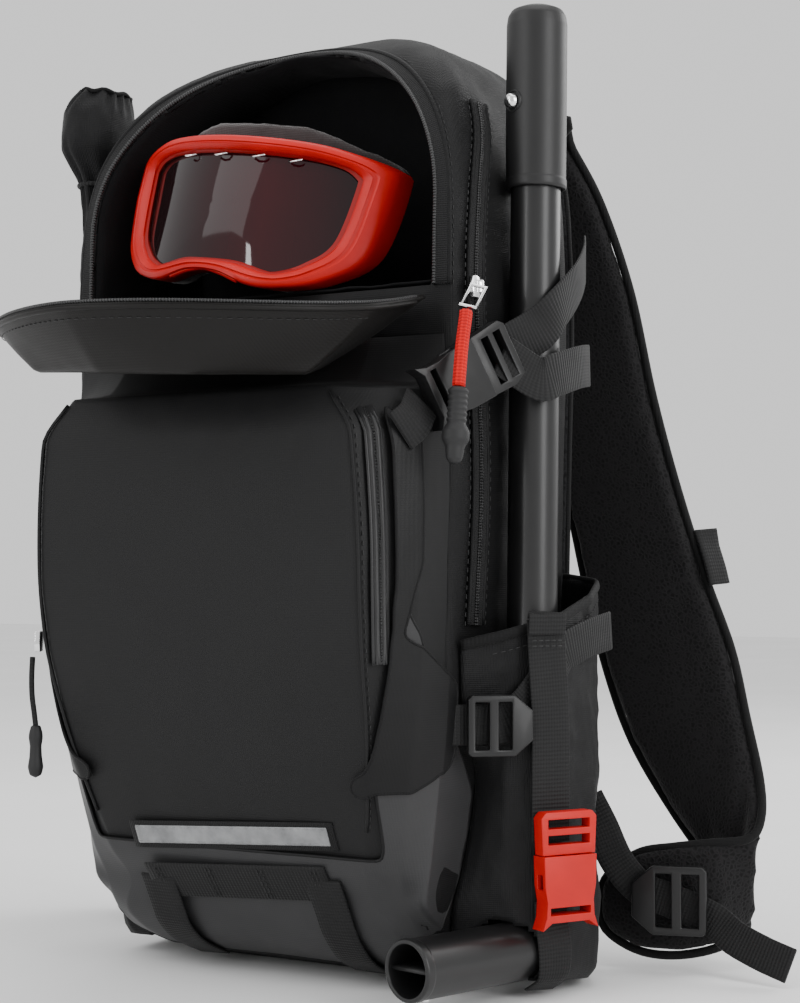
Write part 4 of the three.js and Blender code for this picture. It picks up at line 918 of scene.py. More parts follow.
def front_surface(name, levels, keep, offset, thickness, material, replaces, sides=(1, -1), first=0,
                  puff=None, border=6, seed=1.0, ripple=0.6):
    """Piece of cloth that follows the bag's front and flanks, at an offset from them."""
    halves = [front_half(z)[first:] for z in levels]
    rows = []
    for ring in halves:
        row = []
        if 1 in sides:
            row += ring
        if -1 in sides:
            mirror = [V(-p.x, p.y, p.z) for p in reversed(ring)]
            row += mirror[1:] if 1 in sides else mirror
        rows.append(row)
    cols = len(rows[0])
    points = [p for row in rows for p in row]
    faces = []
    for f in grid_faces(len(rows), cols):
        c = sum((points[i] for i in f), V(0, 0, 0)) / 4
        if keep(c):
            faces.append(f)
    obj = new_object(name, points, faces)
    bm = bmesh.new()
    bm.from_mesh(obj.data)
    bmesh.ops.delete(bm, geom=[v for v in bm.verts if not v.link_faces], context="VERTS")
    if border:
        relax_border(bm, border)
    bm.normal_update()
    outward = sum(1 if f.normal.dot(Vector((0, -1, 0)) + Vector((1 if f.calc_center_median().x > 0 else -1, 0, 0))) > 0
                  else -1 for f in bm.faces)
    if outward < 0:
        bmesh.ops.reverse_faces(bm, faces=bm.faces)
        bm.normal_update()
    for v in bm.verts:
        p = v.co * 1000 - SHIFT
        lift = offset + (puff(p) if puff else 0)
        v.co += v.normal * (lift * 0.001)
    bm.to_mesh(obj.data)
    bm.free()
    displace(obj, ripple, 40, seed)
    edge = border_loops(obj)
    thicken(obj, thickness)
    smooth_by_angle(obj, 50)
    finish_piece(obj, material, "pack", replaces)
    return edge


def border_loops(obj):
    """Open edges of a patch as lists of (point, normal) in working millimetres."""
    bm = bmesh.new()
    bm.from_mesh(obj.data)
    bm.normal_update()
    left = {e for e in bm.edges if e.is_boundary}
    loops = []
    while left:
        e = min(left, key=lambda k: k.index)
        left.discard(e)
        chain = [e.verts[0], e.verts[1]]
        while True:
            onward = next((k for k in chain[-1].link_edges if k in left), None)
            if onward is None:
                break
            left.discard(onward)
            chain.append(onward.other_vert(chain[-1]))
        if len(chain) > 12:
            loops.append([(v.co * 1000 - SHIFT, v.normal.copy()) for v in chain])
    bm.free()
    return loops


def inside(polygon, y, z):
    hit = False
    for (y1, z1), (y2, z2) in zip(polygon, polygon[1:] + polygon[:1]):
        if (z1 > z) != (z2 > z) and y < (y2 - y1) * (z - z1) / (z2 - z1) + y1:
            hit = not hit
    return hit


def bind_edges(name, loops, radius, material):
    """Rolled binding along the open edges of a piece of cloth."""
    for k, loop in enumerate(loops):
        pts = [p for p, _ in loop][::2]
        ns = [n for _, n in loop][::2]
        if len(pts) < 4:
            continue
        path = [p - n * (radius * 0.5) for p, n in zip(pts, ns)]
        section = [(radius * math.cos(2 * math.pi * j / 8), radius * math.sin(2 * math.pi * j / 8)) for j in range(8)]
        sweep(f"{name}_edge_{k}", path, ns, section, material)


def dome(p):
    """Soft cushion of the front panel, deepest in the middle, dimpled at its seams."""
    face, crease = FRONT.at(p.z)[:2]
    if p.y > face + 6:
        return 0.0
    u = max(0.0, 1 - (abs(p.x) / (crease - 2)) ** 4)
    v = max(0.0, min(1.0, (p.z - 96) / 40)) * max(0.0, min(1.0, (334 - p.z) / 22))
    return 1.3 * u * v


def make_front():
    levels = [60 + 3.0 * k for k in range(91)] + [331, 333, 334.5, 336, 337.5, 339, 340.5, 342.5, 345, 349, 354, 359, 364]
    front_surface("front_panel", levels, lambda c: True, 0, 2.0, "coated", "front_pocket_shell",
                  first=FLANK_SPAN - 3, puff=dome, border=0, ripple=0.5)
    boot_outline = [(-84.5, 227), (-54, 173), (-12, 116), (-17, 68), (-34, 36), (-6, 10), (-30, 4), (-120, 4),
                    (-120, 58), (-62, 84), (-78.5, 128)]
    boot_levels = [8 + 2.2 * k for k in range(101)]
    edge = front_surface("boot_skin", boot_levels, lambda c: inside(boot_outline, c.y, c.z), 2.3, 1.4, "boot",
                         "base_boot", border=10, ripple=0.35, seed=5)
    bind_edges("boot", edge, 0.9, "wing")
    wing_outline = [(-86, 326), (-72, 304), (-72, 242), (-81, 203), (-38, 176), (-38, 134), (-62, 121),
                    (-80, 119), (-84, 150), (-86, 200)]
    wing_levels = [116 + 2.2 * k for k in range(98)]
    for side, tag in ((1, "right"), (-1, "left")):
        edge = front_surface(f"wing_{tag}_skin", wing_levels,
                             lambda c: inside(wing_outline, c.y, c.z) and abs(c.x) > 90, 4.0, 1.4, "wing",
                             f"wing_{tag}", sides=(side,), border=10, ripple=0.6, seed=9)
        bind_edges(f"wing_{tag}", edge, 0.9, "shell")


make_front()


def crease_line(share, lift, z0, z1, step=6.0, side=1):
    """Points on the gusset: share 0 is the crease and 1 the side bulge."""
    path, outs = [], []
    n = int((z1 - z0) / step)
    for k in range(n + 1):
        z = z0 + (z1 - z0) * k / n
        face, crease, bulge, bulge_y = FRONT.at(z)[:4]
        across = V(bulge - crease, bulge_y - face, 0)
        out = V(across.y, -across.x, 0).normalized()
        if out.y > 0:
            out = -out
        p = V(crease, face, z) + across * share + out * lift
        path.append(V(p.x * side, p.y, z))
        outs.append(V(out.x * side, out.y, 0))
    return path, outs


def make_gussets():
    for side, tag in ((1, "right"), (-1, "left")):
        path, outs = crease_line(0.33, 1.9, 188, 322, side=side)
        sweep(f"gusset_tape_{tag}", path, outs, strap_section(11, 1.0), "sealed", "pack", f"front_zip_{tag}")
        for share in (0.27, 0.39):
            ridge, r_outs = crease_line(share, 2.6, 188, 322, side=side)
            sweep(f"gusset_lip_{tag}_{int(share * 100)}", ridge, r_outs, strap_section(3.6, 0.8), "sealed")
        teeth, t_outs = crease_line(0.33, 2.5, 188, 322, 1.6, side)
        sweep(f"gusset_coil_{tag}", teeth, t_outs, strap_section(1.8, 0.9), "coil")
        edge, e_outs = crease_line(0.0, 0.6, 98, 331, 5, side)
        sweep(f"panel_welt_{tag}", edge, e_outs, [(1.0 * math.cos(a), 1.0 * math.sin(a)) for a in
              [math.pi * k / 4 for k in range(8)]], "coated")
        seam, s_outs = crease_line(0.08, 0.9, 100, 328, 5, side)
        stitches(f"panel_stitches_{tag}", seam, s_outs)


make_gussets()


def cross_strip(name, centre, out, half, width, material, thickness, replaces=(), tilt=(1, 0, 0.054), bow=0.0):
    along = Vector(tilt).normalized()
    out = (Vector(out) - along * Vector(out).dot(along)).normalized()
    path = [Vector(centre) + along * (half * (2 * k / 24 - 1)) for k in range(25)]
    return sweep(name, path, [out] * 25, strap_section(width, thickness, bow), material, "pack", replaces)


def make_trim():
    face_out, band_out = (0, -0.94, -0.34), (0, -0.82, -0.57)
    cross_strip("strip_backing", (2, -70.3, 90), face_out, 70, 17, "tape", 0.9)
    cross_strip("strip_film", (2, -71.1, 90.1), face_out, 66, 11, "reflective", 0.9, "reflective_strip")
    along = V(1, 0, 0.054).normalized()
    for k, dz in enumerate((-4.4, 4.4)):
        up = V(0, -0.34, 0.94)
        row = [V(2, -71.65, 90.1) + along * (s * 65) + up * dz for s in (-1, -0.5, 0, 0.5, 1)]
        stitches(f"strip_stitches_{k}", row, [Vector(face_out)] * 5, material="reflective")
    cross_strip("haul_band", (0, -59.6, 63), band_out, 62, 25, "webbing", 1.6, "haul_webbing", bow=0.2)
    for k, x in enumerate((-54, -18, 18, 54)):
        centre = V(x, -61.0, 63 + 0.054 * x)
        up = V(0, -0.57, 0.82)
        rows = [centre + up * (s * 11) for s in (-1, -0.5, 0, 0.5, 1)]
        for j, dx in enumerate((-1.4, 1.4)):
            stitches(f"band_tack_{k}_{j}", [r + V(dx, 0, 0) for r in rows], [Vector(band_out)] * 5, gap=0.6,
                     radius=0.4)
    for side, tag in ((1, "right"), (-1, "left")):
        rise = (3, 2.5, 1.5, 0, 0)
        path = [(57, -61.4, 65.5, band_out), (57.5, -51.3, 46.5, (0, -0.76, -0.65)),
                (58, -43.7, 33.5, (0, -0.7, -0.72)), (58, -29.1, 20.3, (0, -0.5, -0.87)),
                (56, -8.5, 10.8, (0, -0.4, -0.92))]
        strap(f"haul_leg_{tag}", [((side * x, y, z + side * r), out) for (x, y, z, out), r in zip(path, rise)],
              24, thickness=1.6, wobble=0.3)


make_trim()


# ------------------------------------------------------------------ side pockets and rolled sleeve

# height, then where the pocket meets the bag and its corners in plan
POCKET = Profile([
    (12, 107, -2, 134, -4, 154, -2, 161, 12, 163, 46, 149, 70), (20, 109, -10, 139, -10, 158, -5, 167, 12, 169, 47, 153, 73),
    (50, 116, -22, 141, -13, 159, -4.5, 167.5, 12, 170, 48, 154, 74),
    (75, 118.5, -14, 142, -13, 158.5, -4, 166, 12, 168, 47, 154, 74),
    (116, 122.6, -9, 143, -12.5, 158.4, -3, 165.5, 12.6, 167, 46, 157, 74),
    (160, 126.6, -30, 143, -12.5, 158.1, -2.3, 165.2, 12.4, 166, 45, 157, 73),
    (200, 129.6, -36, 146, -19, 158.6, -1.6, 165.2, 12.4, 166, 45, 157, 73)])
GRIP_AXIS = V(-math.sin(math.radians(14)), -math.cos(math.radians(14)), 0)
SHAFT_FOOT = V(147, 9, 29.5)


def pocket_ring(z, fill):
    base, front, *rest = POCKET.at(z)
    pts = [(base + 0.6 + (x - base) * fill, y) for x, y in zip(rest[::2], rest[1::2])]
    corners = [(base + 0.6, front, 0)] + [(x, y, r) for (x, y), r in zip(pts, (7, 8, 9, 12, 8))] + [(base + 0.6, 84, 0)]
    return fillet(corners, [8, 8, 8, 14, 12, 8], 5)


def side_pocket(tag, fill, side, node):
    rows = []
    hem = lambda y: 197 + 0.3 * (y + 36)
    for k in range(72):
        s = k / 71
        z = 13 + (200 - 13) * s
        row = []
        for p in pocket_ring(z, fill):
            low = 14.5 - 0.11 * (p.y + 2)
            row.append(V(p.x * side, p.y, low + (hem(p.y) - low) * s))
        rows.append(row)
    cols = len(rows[0])
    points = [p for row in rows for p in row]
    faces = grid_faces(len(rows), cols)
    # floor of the pocket
    points.append(sum(rows[0], V(0, 0, 0)) / cols)
    faces += [(c + 1, c, len(points) - 1) for c in range(cols - 1)]

    def clear_of_grip(face):
        c = sum((points[i] for i in face), V(0, 0, 0)) / len(face)
        d = c - SHAFT_FOOT
        along = d.dot(GRIP_AXIS)
        return side < 0 or along < 0 or (d - GRIP_AXIS * along).length > 17.5
    faces = [f for f in faces if clear_of_grip(f)]
    obj = new_object(f"pocket_{tag}", points, faces)
    bm = bmesh.new()
    bm.from_mesh(obj.data)
    bmesh.ops.delete(bm, geom=[v for v in bm.verts if not v.link_faces], context="VERTS")
    bmesh.ops.recalc_face_normals(bm, faces=bm.faces)
    bm.normal_update()
    if sum(f.normal.x * side for f in bm.faces) < 0:
        bmesh.ops.reverse_faces(bm, faces=bm.faces)
    bm.to_mesh(obj.data)
    bm.free()
    reach = lambda p: 0 if p.z < 19 else min(1, (p.z - 19) / 20) * (1 if abs(p.x) > 133 else 0.3)
    displace(obj, 1.5, 30, 21, lambda p: reach(V(p.x, p.y, p.z)), 2)
    displace(obj, 0.9, 12, 23, lambda p: reach(V(p.x, p.y * 0.4, p.z)), 2)
    thicken(obj, 1.4)
    finish_piece(obj, "pocket", "pack", node)
    top = [V(p.x * side, p.y, hem(p.y) - 0.5) for p in pocket_ring(200, fill)]
    out = [V(side, 0, 0)] * len(top)
    sweep(f"pocket_{tag}_hem", top, out, [(3.2 * math.sin(a), 1.5 * math.cos(a)) for a in
          [math.pi * k / 5 for k in range(10)]], "binding")
    lower = [V(p.x * side + 0.7 * side, p.y, hem(p.y) - 9) for p in pocket_ring(200, fill)][6:-6]
    stitches(f"pocket_{tag}_stitches", lower, [V(side, -0.3, 0)] * len(lower))


side_pocket("right", 1.0, 1, "side_pocket_right")
side_pocket("left", 0.4, -1, "side_pocket_left")

# centre x, y, height and half axes of the rolled sleeve on the left
SLEEVE = Profile([(238, -147, 9, 9, 20), (250, -147.5, 9, 12.5, 27), (330, -148, 8, 13.5, 28), (400, -148, 6, 13.5, 28),
                  (450, -148, 4, 12.5, 26), (476, -148, 0, 12.5, 22), (500, -151, -5, 18, 29), (520, -151, -6, 18, 28),
                  (536, -147, -4, 11, 19)])


def make_sleeve():
    levels = [238 + 4 * k for k in range(58)] + [470 + 2.2 * k for k in range(31)]
    n, rows = 96, []
    for z in levels:
        x, y, a, b = SLEEVE.at(z)
        gather = max(0.0, 1 - abs(z - 478) / 30) * 0.10 + max(0.0, (z - 520) / 16) * 0.16
        ring = []
        for k in range(n):
            t = 2 * math.pi * k / n
            pleat = 1 + gather * math.sin(13 * t + 2 * math.sin(3 * t)) * 0.7
            ring.append(V(x + a * pleat * math.cos(t), y + b * pleat * math.sin(t), z + 2 * gather * math.sin(5 * t)))
        rows.append(ring)
    x, y, a, b = SLEEVE.at(536)
    for k, shrink in enumerate((0.8, 0.55, 0.3)):
        rows.append([V(x + (p.x - x) * shrink, y + (p.y - y) * shrink, p.z - 3 * (k + 1)) for p in rows[-1]])
    points = [p for r in rows for p in r]
    faces = grid_faces(len(rows), n, False, True)
    faces.append(tuple(range(n - 1, -1, -1)))
    faces.append(tuple(range((len(rows) - 1) * n, len(rows) * n)))
    obj = recalc(new_object("rolled_sleeve", points, faces))
    displace(obj, 1.2, 24, 31, lambda p: 1.0, 3)
    finish_piece(obj, "pocket", "pack", "cinch_sleeve_left")
    x, y, a, b = SLEEVE.at(477)
    loop = [V(x + (a + 1.2) * math.cos(t), y + (b + 1.2) * math.sin(t), 477) for t in
            [2 * math.pi * k / 24 for k in range(24)]]
    tube("sleeve_drawcord", loop, 1.4, "webbing", closed=True, step=2)
    hem = [V(x + (11.5) * math.cos(t) + 1, y - 4 + 19.5 * math.sin(t), 535.5 + 0.8 * math.sin(7 * t)) for t in
           [2 * math.pi * k / 40 for k in range(40)]]
    tube("sleeve_hem", hem, 1.3, "binding", closed=True, step=2)


make_sleeve()


# ------------------------------------------------------------------ tool zip and sliders

def make_tool_zip():
    line = [(128.3, -20.8, 207), (130.3, -18.2, 290), (132.6, -27.5, 390), (130.6, -21.2, 440), (125.8, -8.6, 477),
            (120.4, -3.4, 498)]
    path = [p + V(1.7, 0, 0.2) for p in smooth_path([V(*p) for p in line], 4)]
    outs = [V(1, -0.1, 0.25 * max(0, (p.z - 430) / 60)) for p in path]
    sweep("tool_zip_tape", path, outs, strap_section(13, 1.0), "tape", "pack", "tool_zip")
    fine = smooth_path([p + V(0.9, 0, 0) for p in path], 1.6)
    sweep("tool_zip_coil", fine, [V(1, -0.1, 0)] * len(fine), strap_section(3.0, 1.6), "coil")
    for k, dy in enumerate((-7.5, 7.5)):
        edge = [p + V(0.4, dy, 0) for p in path]
        tube(f"tool_zip_welt_{k}", edge, 1.3, "shell", step=5, up=(1, 0, 0), sides=8)
        seam = [p + V(0.3, dy * 1.45, 0) for p in path]
        stitches(f"tool_zip_seam_{k}", seam, outs)


make_tool_zip()
for node in ("tool_zip_slider", "front_zip_slider"):
    bevelled(node, "chrome", 0.5)
bevelled("tool_pull_loop", "chrome", 0.3)


def lathe(name, origin, axis, profile, material, body="pack", replaces=(), sides=56, side_shape=None):
    """Turned piece: profile is [radius, distance along the axis]."""
    axis = Vector(axis).normalized()
    u = axis.orthogonal().normalized()
    w = axis.cross(u)
    points = []
    for r, h in profile:
        for k in range(sides):
            t = 2 * math.pi * k / sides
            rr = r * (side_shape(t, h) if side_shape else 1)
            points.append(Vector(origin) + axis * h + u * (rr * math.cos(t)) + w * (rr * math.sin(t)))
    faces = grid_faces(len(profile), sides, False, True)
    faces.append(tuple(range(sides - 1, -1, -1)))
    faces.append(tuple(range((len(profile) - 1) * sides, len(profile) * sides)))
    obj = recalc(new_object(name, points, faces))
    smooth_by_angle(obj, 42)
    return finish_piece(obj, material, body, replaces)


def round_profile(points, radius=0.8, arc=3):
    """Profile with its corners rounded."""
    out = [points[0]]
    for i in range(1, len(points) - 1):
        a, b, c = Vector(points[i - 1]), Vector(points[i]), Vector(points[i + 1])
        r = min(radius, (a - b).length / 2.1, (c - b).length / 2.1)
        p, q = b + (a - b).normalized() * r, b + (c - b).normalized() * r
        for k in range(arc + 1):
            t = k / arc
            s = p * (1 - t) ** 2 + b * 2 * t * (1 - t) + q * t * t
            out.append((s.x, s.y))
    out.append(points[-1])
    return out


PULL_END = V(148.6, -69.5, 331)


def make_pulls():
    path = [V(146.8, -58.4, 373.4), V(147.2, -60.0, 369), V(147.6, -62.2, 363), V(148, -65, 354), V(148.4, -67.5, 343),
            V(148.6, -69.2, 333)]
    fine = smooth_path(path, 1.5)
    section = [((3.3 + 0.25 * math.cos(8 * a)) * math.cos(a), (3.3 + 0.25 * math.cos(8 * a)) * math.sin(a)) for a in
               [2 * math.pi * k / 32 for k in range(32)]]
    cord = sweep("red_pull_cord", fine, [V(1, 0, 0)] * len(fine), section, "red_cord", "tool_pull", "tool_pull_cord")
    down = V(0, -math.sin(math.radians(7)), -math.cos(math.radians(7)))
    ribs = [(0, -1.5), (3.6, -1.5), (5.2, 0)]
    for k in range(6):
        ribs += [(5.7, 1 + 3 * k), (4.7, 2.4 + 3 * k)]
    ribs += [(5.6, 19), (7.3, 22), (7.4, 26.5), (5.2, 30), (4.9, 33), (4.4, 36.5), (2.6, 38.8), (0.2, 39.4)]
    grip = lathe("red_pull_grip", PULL_END, down, round_profile(ribs, 0.9), "rubber", "tool_pull", "tool_pull_grip", 40,
                 lambda t, h: 1 - 0.12 * abs(math.sin(t)) ** 2)

    line = [V(-122, -96, 187), V(-121.4, -97.3, 176), V(-120.2, -98.2, 165), V(-118.3, -98.4, 155), V(-117, -98.4, 147)]
    fine = smooth_path(line, 1.5)
    section = [(1.6 * math.cos(a), 1.6 * math.sin(a)) for a in [math.pi * k / 6 for k in range(12)]]
    pull = sweep("side_pull_cord", fine, [V(1, 0, 0)] * len(fine), section, "webbing", "front_pull")
    tab = [(0, 0), (2.6, 0), (3.8, 4), (4.1, 7), (3.3, 12), (3.6, 18), (4.5, 24), (3.4, 28.5), (0.2, 30)]
    end = lathe("side_pull_tab", (-117, -98.4, 148), (0, 0, -1), round_profile(tab, 1.2), "rubber", "front_pull",
                "front_zip_pull", 32)


make_pulls()


# ------------------------------------------------------------------ goggle flap

HINGE_Y, HINGE_Z = -50.5, 384
ALONG = V(0, -math.cos(math.radians(5)), -math.sin(math.radians(5)))
OUT = V(0, math.sin(math.radians(5)), -math.cos(math.radians(5)))


def flap_point(x, t, n):
    return V(x, HINGE_Y, HINGE_Z) + ALONG * t + OUT * n


def flap_rim(inset, steps=72):
    half, spring, power = 120 - inset, 52, 2 / 1.7
    pts = []
    for i in range(steps + 1):
        a = math.pi * i / steps
        across = math.copysign(abs(math.cos(a)) ** power, math.cos(a))
        t = spring + (160 - spring - inset) * math.sin(a) ** power
        pts.append((half * across, t, 6 * math.sin(math.pi * min(t / 160, 1))))
    left = [(-half, spring - (spring - 5 - inset) * k / 12, 0) for k in range(1, 12)]
    back = [(-half + 2 * half * k / 30, 5 + inset, 0) for k in range(31)]
    right = [(half, 5 + inset + (spring - 5 - inset) * k / 12, 0) for k in range(1, 12)]
    lifted = [(x, t, 6 * math.sin(math.pi * min(t / 160, 1))) for x, t, _ in left + back + right]
    return pts + lifted


def flap_facet(inset, depth, count_front=73):
    """Outline of the flat outer face, point for point beside the rim."""
    corners = [(88, 74), (52, 124), (0, 134), (-52, 124), (-88, 74)]
    lengths = [math.dist(a, b) for a, b in zip(corners, corners[1:])]
    total, out = sum(lengths), []
    for i in range(count_front):
        s = total * i / (count_front - 1)
        k = 0
        while k < len(lengths) - 1 and s > lengths[k]:
            s -= lengths[k]
            k += 1
        f = s / lengths[k]
        out.append((corners[k][0] + (corners[k + 1][0] - corners[k][0]) * f,
                    corners[k][1] + (corners[k + 1][1] - corners[k][1]) * f))
    out += [(-88 + 32 * k / 12, 74 - 52 * k / 12) for k in range(1, 12)]
    out += [(-56 + 112 * k / 30, 22) for k in range(31)]
    out += [(56 + 32 * k / 12, 22 + 52 * k / 12) for k in range(1, 12)]
    return [(x * (1 - inset / 80), t - inset * 0.4 + inset * 0.2, depth + 0.0625 * x) for x, t in out]


def make_flap():
    def shell(inset, depth, name):
        rim, facet = flap_rim(inset), flap_facet(inset, depth)
        n = len(rim)
        rows = []
        ct = 74
        for k in range(10):
            s = k / 10
            rows.append([(x * s, ct + (t - ct) * s, depth + (d - depth) * s) for x, t, d in facet])
        for s in (0.93, 0.97):
            rows.append([(x * s, ct + (t - ct) * s, depth + (d - depth) * s) for x, t, d in facet])
        for k in range(15):
            s = k / 14
            lift = 1.6 * math.sin(math.pi * s)
            rows.append([(a[0] + (b[0] - a[0]) * s, a[1] + (b[1] - a[1]) * s,
                          a[2] + (b[2] - a[2]) * s + lift - (0.8 if s == 0 else 0)) for a, b in zip(facet, rim)])
        points = [flap_point(*q) for row in rows for q in row]
        obj = new_object(name, points, grid_faces(len(rows), n, False, True))
        bm = bmesh.new()
        bm.from_mesh(obj.data)
        bmesh.ops.remove_doubles(bm, verts=bm.verts, dist=0.00002)
        bm.to_mesh(obj.data)
        bm.free()
        return obj

    outer = shell(0, 34.5, "flap_shell")
    recalc(outer)
    bm = bmesh.new()
    bm.from_mesh(outer.data)
    bm.normal_update()
    if sum(f.normal.z for f in bm.faces) > 0:
        bmesh.ops.reverse_faces(bm, faces=bm.faces)
    bm.to_mesh(outer.data)
    bm.free()
    displace(outer, 0.35, 45, 41)
    thicken(outer, 2.4)
    finish_piece(outer, "flap", "flap", "goggle_flap")
    inner = shell(3.4, 31.2, "flap_lining")
    recalc(inner)
    displace(inner, 0.5, 30, 43)
    thicken(inner, 0.5, 0)
    finish_piece(inner, "flap_inside", "flap")
    rim = [flap_point(x, t, d - 0.6) for x, t, d in flap_rim(1.2)][:73 + 10]
    start = [flap_point(x, t, d - 0.6) for x, t, d in flap_rim(1.2)][-10:]
    line = start + rim
    tube("flap_welt", [p + V(0, 0, -2.2) for p in line], 1.5, "flap", "flap", step=3, sides=8, smooth=False)
    fine = smooth_path([p + V(0, 0, 0.9) for p in line], 1.6)
    sweep("flap_zip_coil", fine, [V(0, 0, 1)] * len(fine), strap_section(2.6, 1.8), "coil", "flap")
    seam_all = flap_rim(1.0)
    facet = flap_facet(0, 34.5)
    seam = [flap_point(a[0] + (b[0] - a[0]) * 0.86, a[1] + (b[1] - a[1]) * 0.86, a[2] + (b[2] - a[2]) * 0.86 + 2.2)
            for a, b in zip(facet[:73], seam_all[:73])]
    stitches("flap_stitches", seam, [OUT + V(0, -0.5, 0)] * len(seam), body="flap")


make_flap()


# ------------------------------------------------------------------ goggles

def goggle_point(x, z, depth):
    roll, lean = math.radians(8), math.tan(math.radians(10))
    bow = 44 * (x / 95) ** 2
    return V(-15 + x * math.cos(roll) + z * math.sin(roll), -72 + bow + depth + (z + 32) * lean,
             442 + z * math.cos(roll) - x * math.sin(roll))


FRAME_OUTER = [(0, 44), (43, 43), (66, 40), (88, 33), (92, 24), (86, -18), (67, -35.5), (46, -41.5), (30, -41.5), (10, -35.5)]
FRAME_INNER = [(0, 35.5), (43, 34.5), (64, 31.5), (73, 27), (75, 21), (70, -13), (57, -27), (44, -33), (35, -33), (14, -29)]
FOAM_OUTER = [(0, 54), (35, 53), (60, 45), (78, 39), (86, 27), (78, -16), (60, -34), (44, -41), (31, -41), (12, -33)]


def outline(half, n=160, scale=(1, 1)):
    """Closed smooth outline from the right half of a goggle shape, evenly spaced."""
    pts = [V(x * scale[0], z * scale[1], 0) for x, z in half]
    pts += [V(-p.x, p.y, 0) for p in reversed(pts[1:])]
    loop = smooth_path(pts, 1.0, closed=True)
    lengths = [0.0]
    for a, b in zip(loop, loop[1:] + loop[:1]):
        lengths.append(lengths[-1] + (b - a).length)
    out, k = [], 0
    for i in range(n):
        s = lengths[-1] * i / n
        while lengths[k + 1] < s:
            k += 1
        f = (s - lengths[k]) / max(1e-9, lengths[k + 1] - lengths[k])
        p = loop[k].lerp(loop[(k + 1) % len(loop)], f)
        out.append((p.x, p.y))
    return out


def ring_band(name, rings, material, body, replaces=(), closed_section=True, angle=45):
    """Closed band through rings of (outline, depth)."""
    n = len(rings[0][0])
    points = [goggle_point(x, z, d(x, z) if callable(d) else d) for ring, d in rings for x, z in ring]
    obj = recalc(new_object(name, points, grid_faces(len(rings), n, closed_section, True)))
    smooth_by_angle(obj, angle)
    return finish_piece(obj, material, body, replaces)


def between(a, b, t):
    return [(p[0] + (q[0] - p[0]) * t, p[1] + (q[1] - p[1]) * t) for p, q in zip(a, b)]


def make_goggles():
    outer, inner = outline(FRAME_OUTER), outline(FRAME_INNER)
    crest = lambda k: (lambda x, z: k - 2.2 * max(0, (abs(x) - 60) / 30) * max(0, 1 - abs(z - 8) / 40))
    ring_band("goggle_shell", [
        (outer, 16.5), (outer, 3.0), (between(outer, inner, 0.06), 1.2), (between(outer, inner, 0.16), crest(0.3)),
        (between(outer, inner, 0.42), crest(0.0)), (between(outer, inner, 0.5), crest(1.2)),
        (between(outer, inner, 0.56), crest(1.3)), (between(outer, inner, 0.62), crest(0.4)),
        (between(outer, inner, 0.86), 2.0), (between(outer, inner, 0.97), 4.0), (inner, 6.0), (inner, 17.0),
        (between(outer, inner, 0.85), 17.8), (between(outer, inner, 0.15), 17.8)], "red", "goggles", "goggle_frame")
    # the gasket sits in the recess inside the frame and takes the darker red copy: painted shade
    ring_band("goggle_gasket", [
        (between(outer, inner, 0.99), 5.2), (between(outer, inner, 1.16), 6.4), (between(outer, inner, 1.16), 8.0),
        (between(outer, inner, 0.99), 8.6)], "red_dark", "goggles", angle=60)
    lens = outline(FRAME_INNER, scale=(0.985, 0.985))
    rows = [(between(lens, [(0, 2)] * len(lens), 1 - s), 9.2 - 1.2 * (1 - s * s)) for s in
            [1.0, 0.97, 0.9, 0.8, 0.7, 0.6, 0.5, 0.4, 0.3, 0.2, 0.1]]
    n = len(lens)
    points = [goggle_point(x, z, d) for ring, d in rows for x, z in ring] + [goggle_point(0, 2, 8.0)]
    faces = grid_faces(len(rows), n, False, True)
    last = (len(rows) - 1) * n
    faces += [(last + c, last + (c + 1) % n, len(points) - 1) for c in range(n)]
    obj = recalc(new_object("goggle_mirror_lens", points, faces))
    thicken(obj, 1.6, 0)
    finish_piece(obj, "lens", "goggles", "goggle_lens")
    foam_out, foam_in = outline(FOAM_OUTER), outline(FOAM_OUTER, scale=(0.86, 0.76))
    foam = ring_band("goggle_face_foam", [
        (between(foam_out, foam_in, 0.2), 19.2), (foam_out, 21.2), (foam_out, 23.5), (between(foam_out, foam_in, 0.08), 24.6),
        (foam_out, 25.8), (between(foam_out, foam_in, 0.02), 29), (between(foam_out, foam_in, 0.2), 31),
        (between(foam_out, foam_in, 0.8), 31), (foam_in, 28), (foam_in, 21)], "foam", "goggles", "goggle_foam", angle=80)
    displace(foam, 0.7, 9, 51)
    for x, z in ((-34, 33.6), (-8, 34.2), (18, 34.2), (40, 33.0)):
        base = goggle_point(x, z, 5.2)
        tube(f"lens_clip_{int(x) + 50}", [base + V(-4.5, 0.4, -0.8), base + V(-2, -1.3, -1.6), base + V(2, -1.3, -1.6),
                                        base + V(4.5, 0.4, -0.8)], 0.7, "chrome", "goggles", step=1, sides=8)
    stations = [(goggle_point(-79, 6, 35), (-0.3, 1, 0)), (V(-74, 11, 455), (0, 1, 0)), (V(35, 11, 440), (0, 1, 0)),
                (goggle_point(74, 6, 35), (0.3, 1, 0))]
    strap("goggle_head_strap", stations, 36, "webbing", "goggles", "goggle_strap", 1.5)
    nose = [goggle_point(x, z, 3.2) for x, z in ((-24, -39.5), (-12, -35.5), (0, -33.5), (12, -35.5), (24, -39.5))]
    tube("nose_ridge", nose, 1.6, "red", "goggles", step=2, up=(0, -1, 0))


make_goggles()


# ------------------------------------------------------------------ shovel handle

LEAN = V(0, 12 / 534, 1).normalized()


def shaft_at(z):
    return V(SHAFT_FOOT.x, SHAFT_FOOT.y + (z - SHAFT_FOOT.z) * 12 / 534, z)


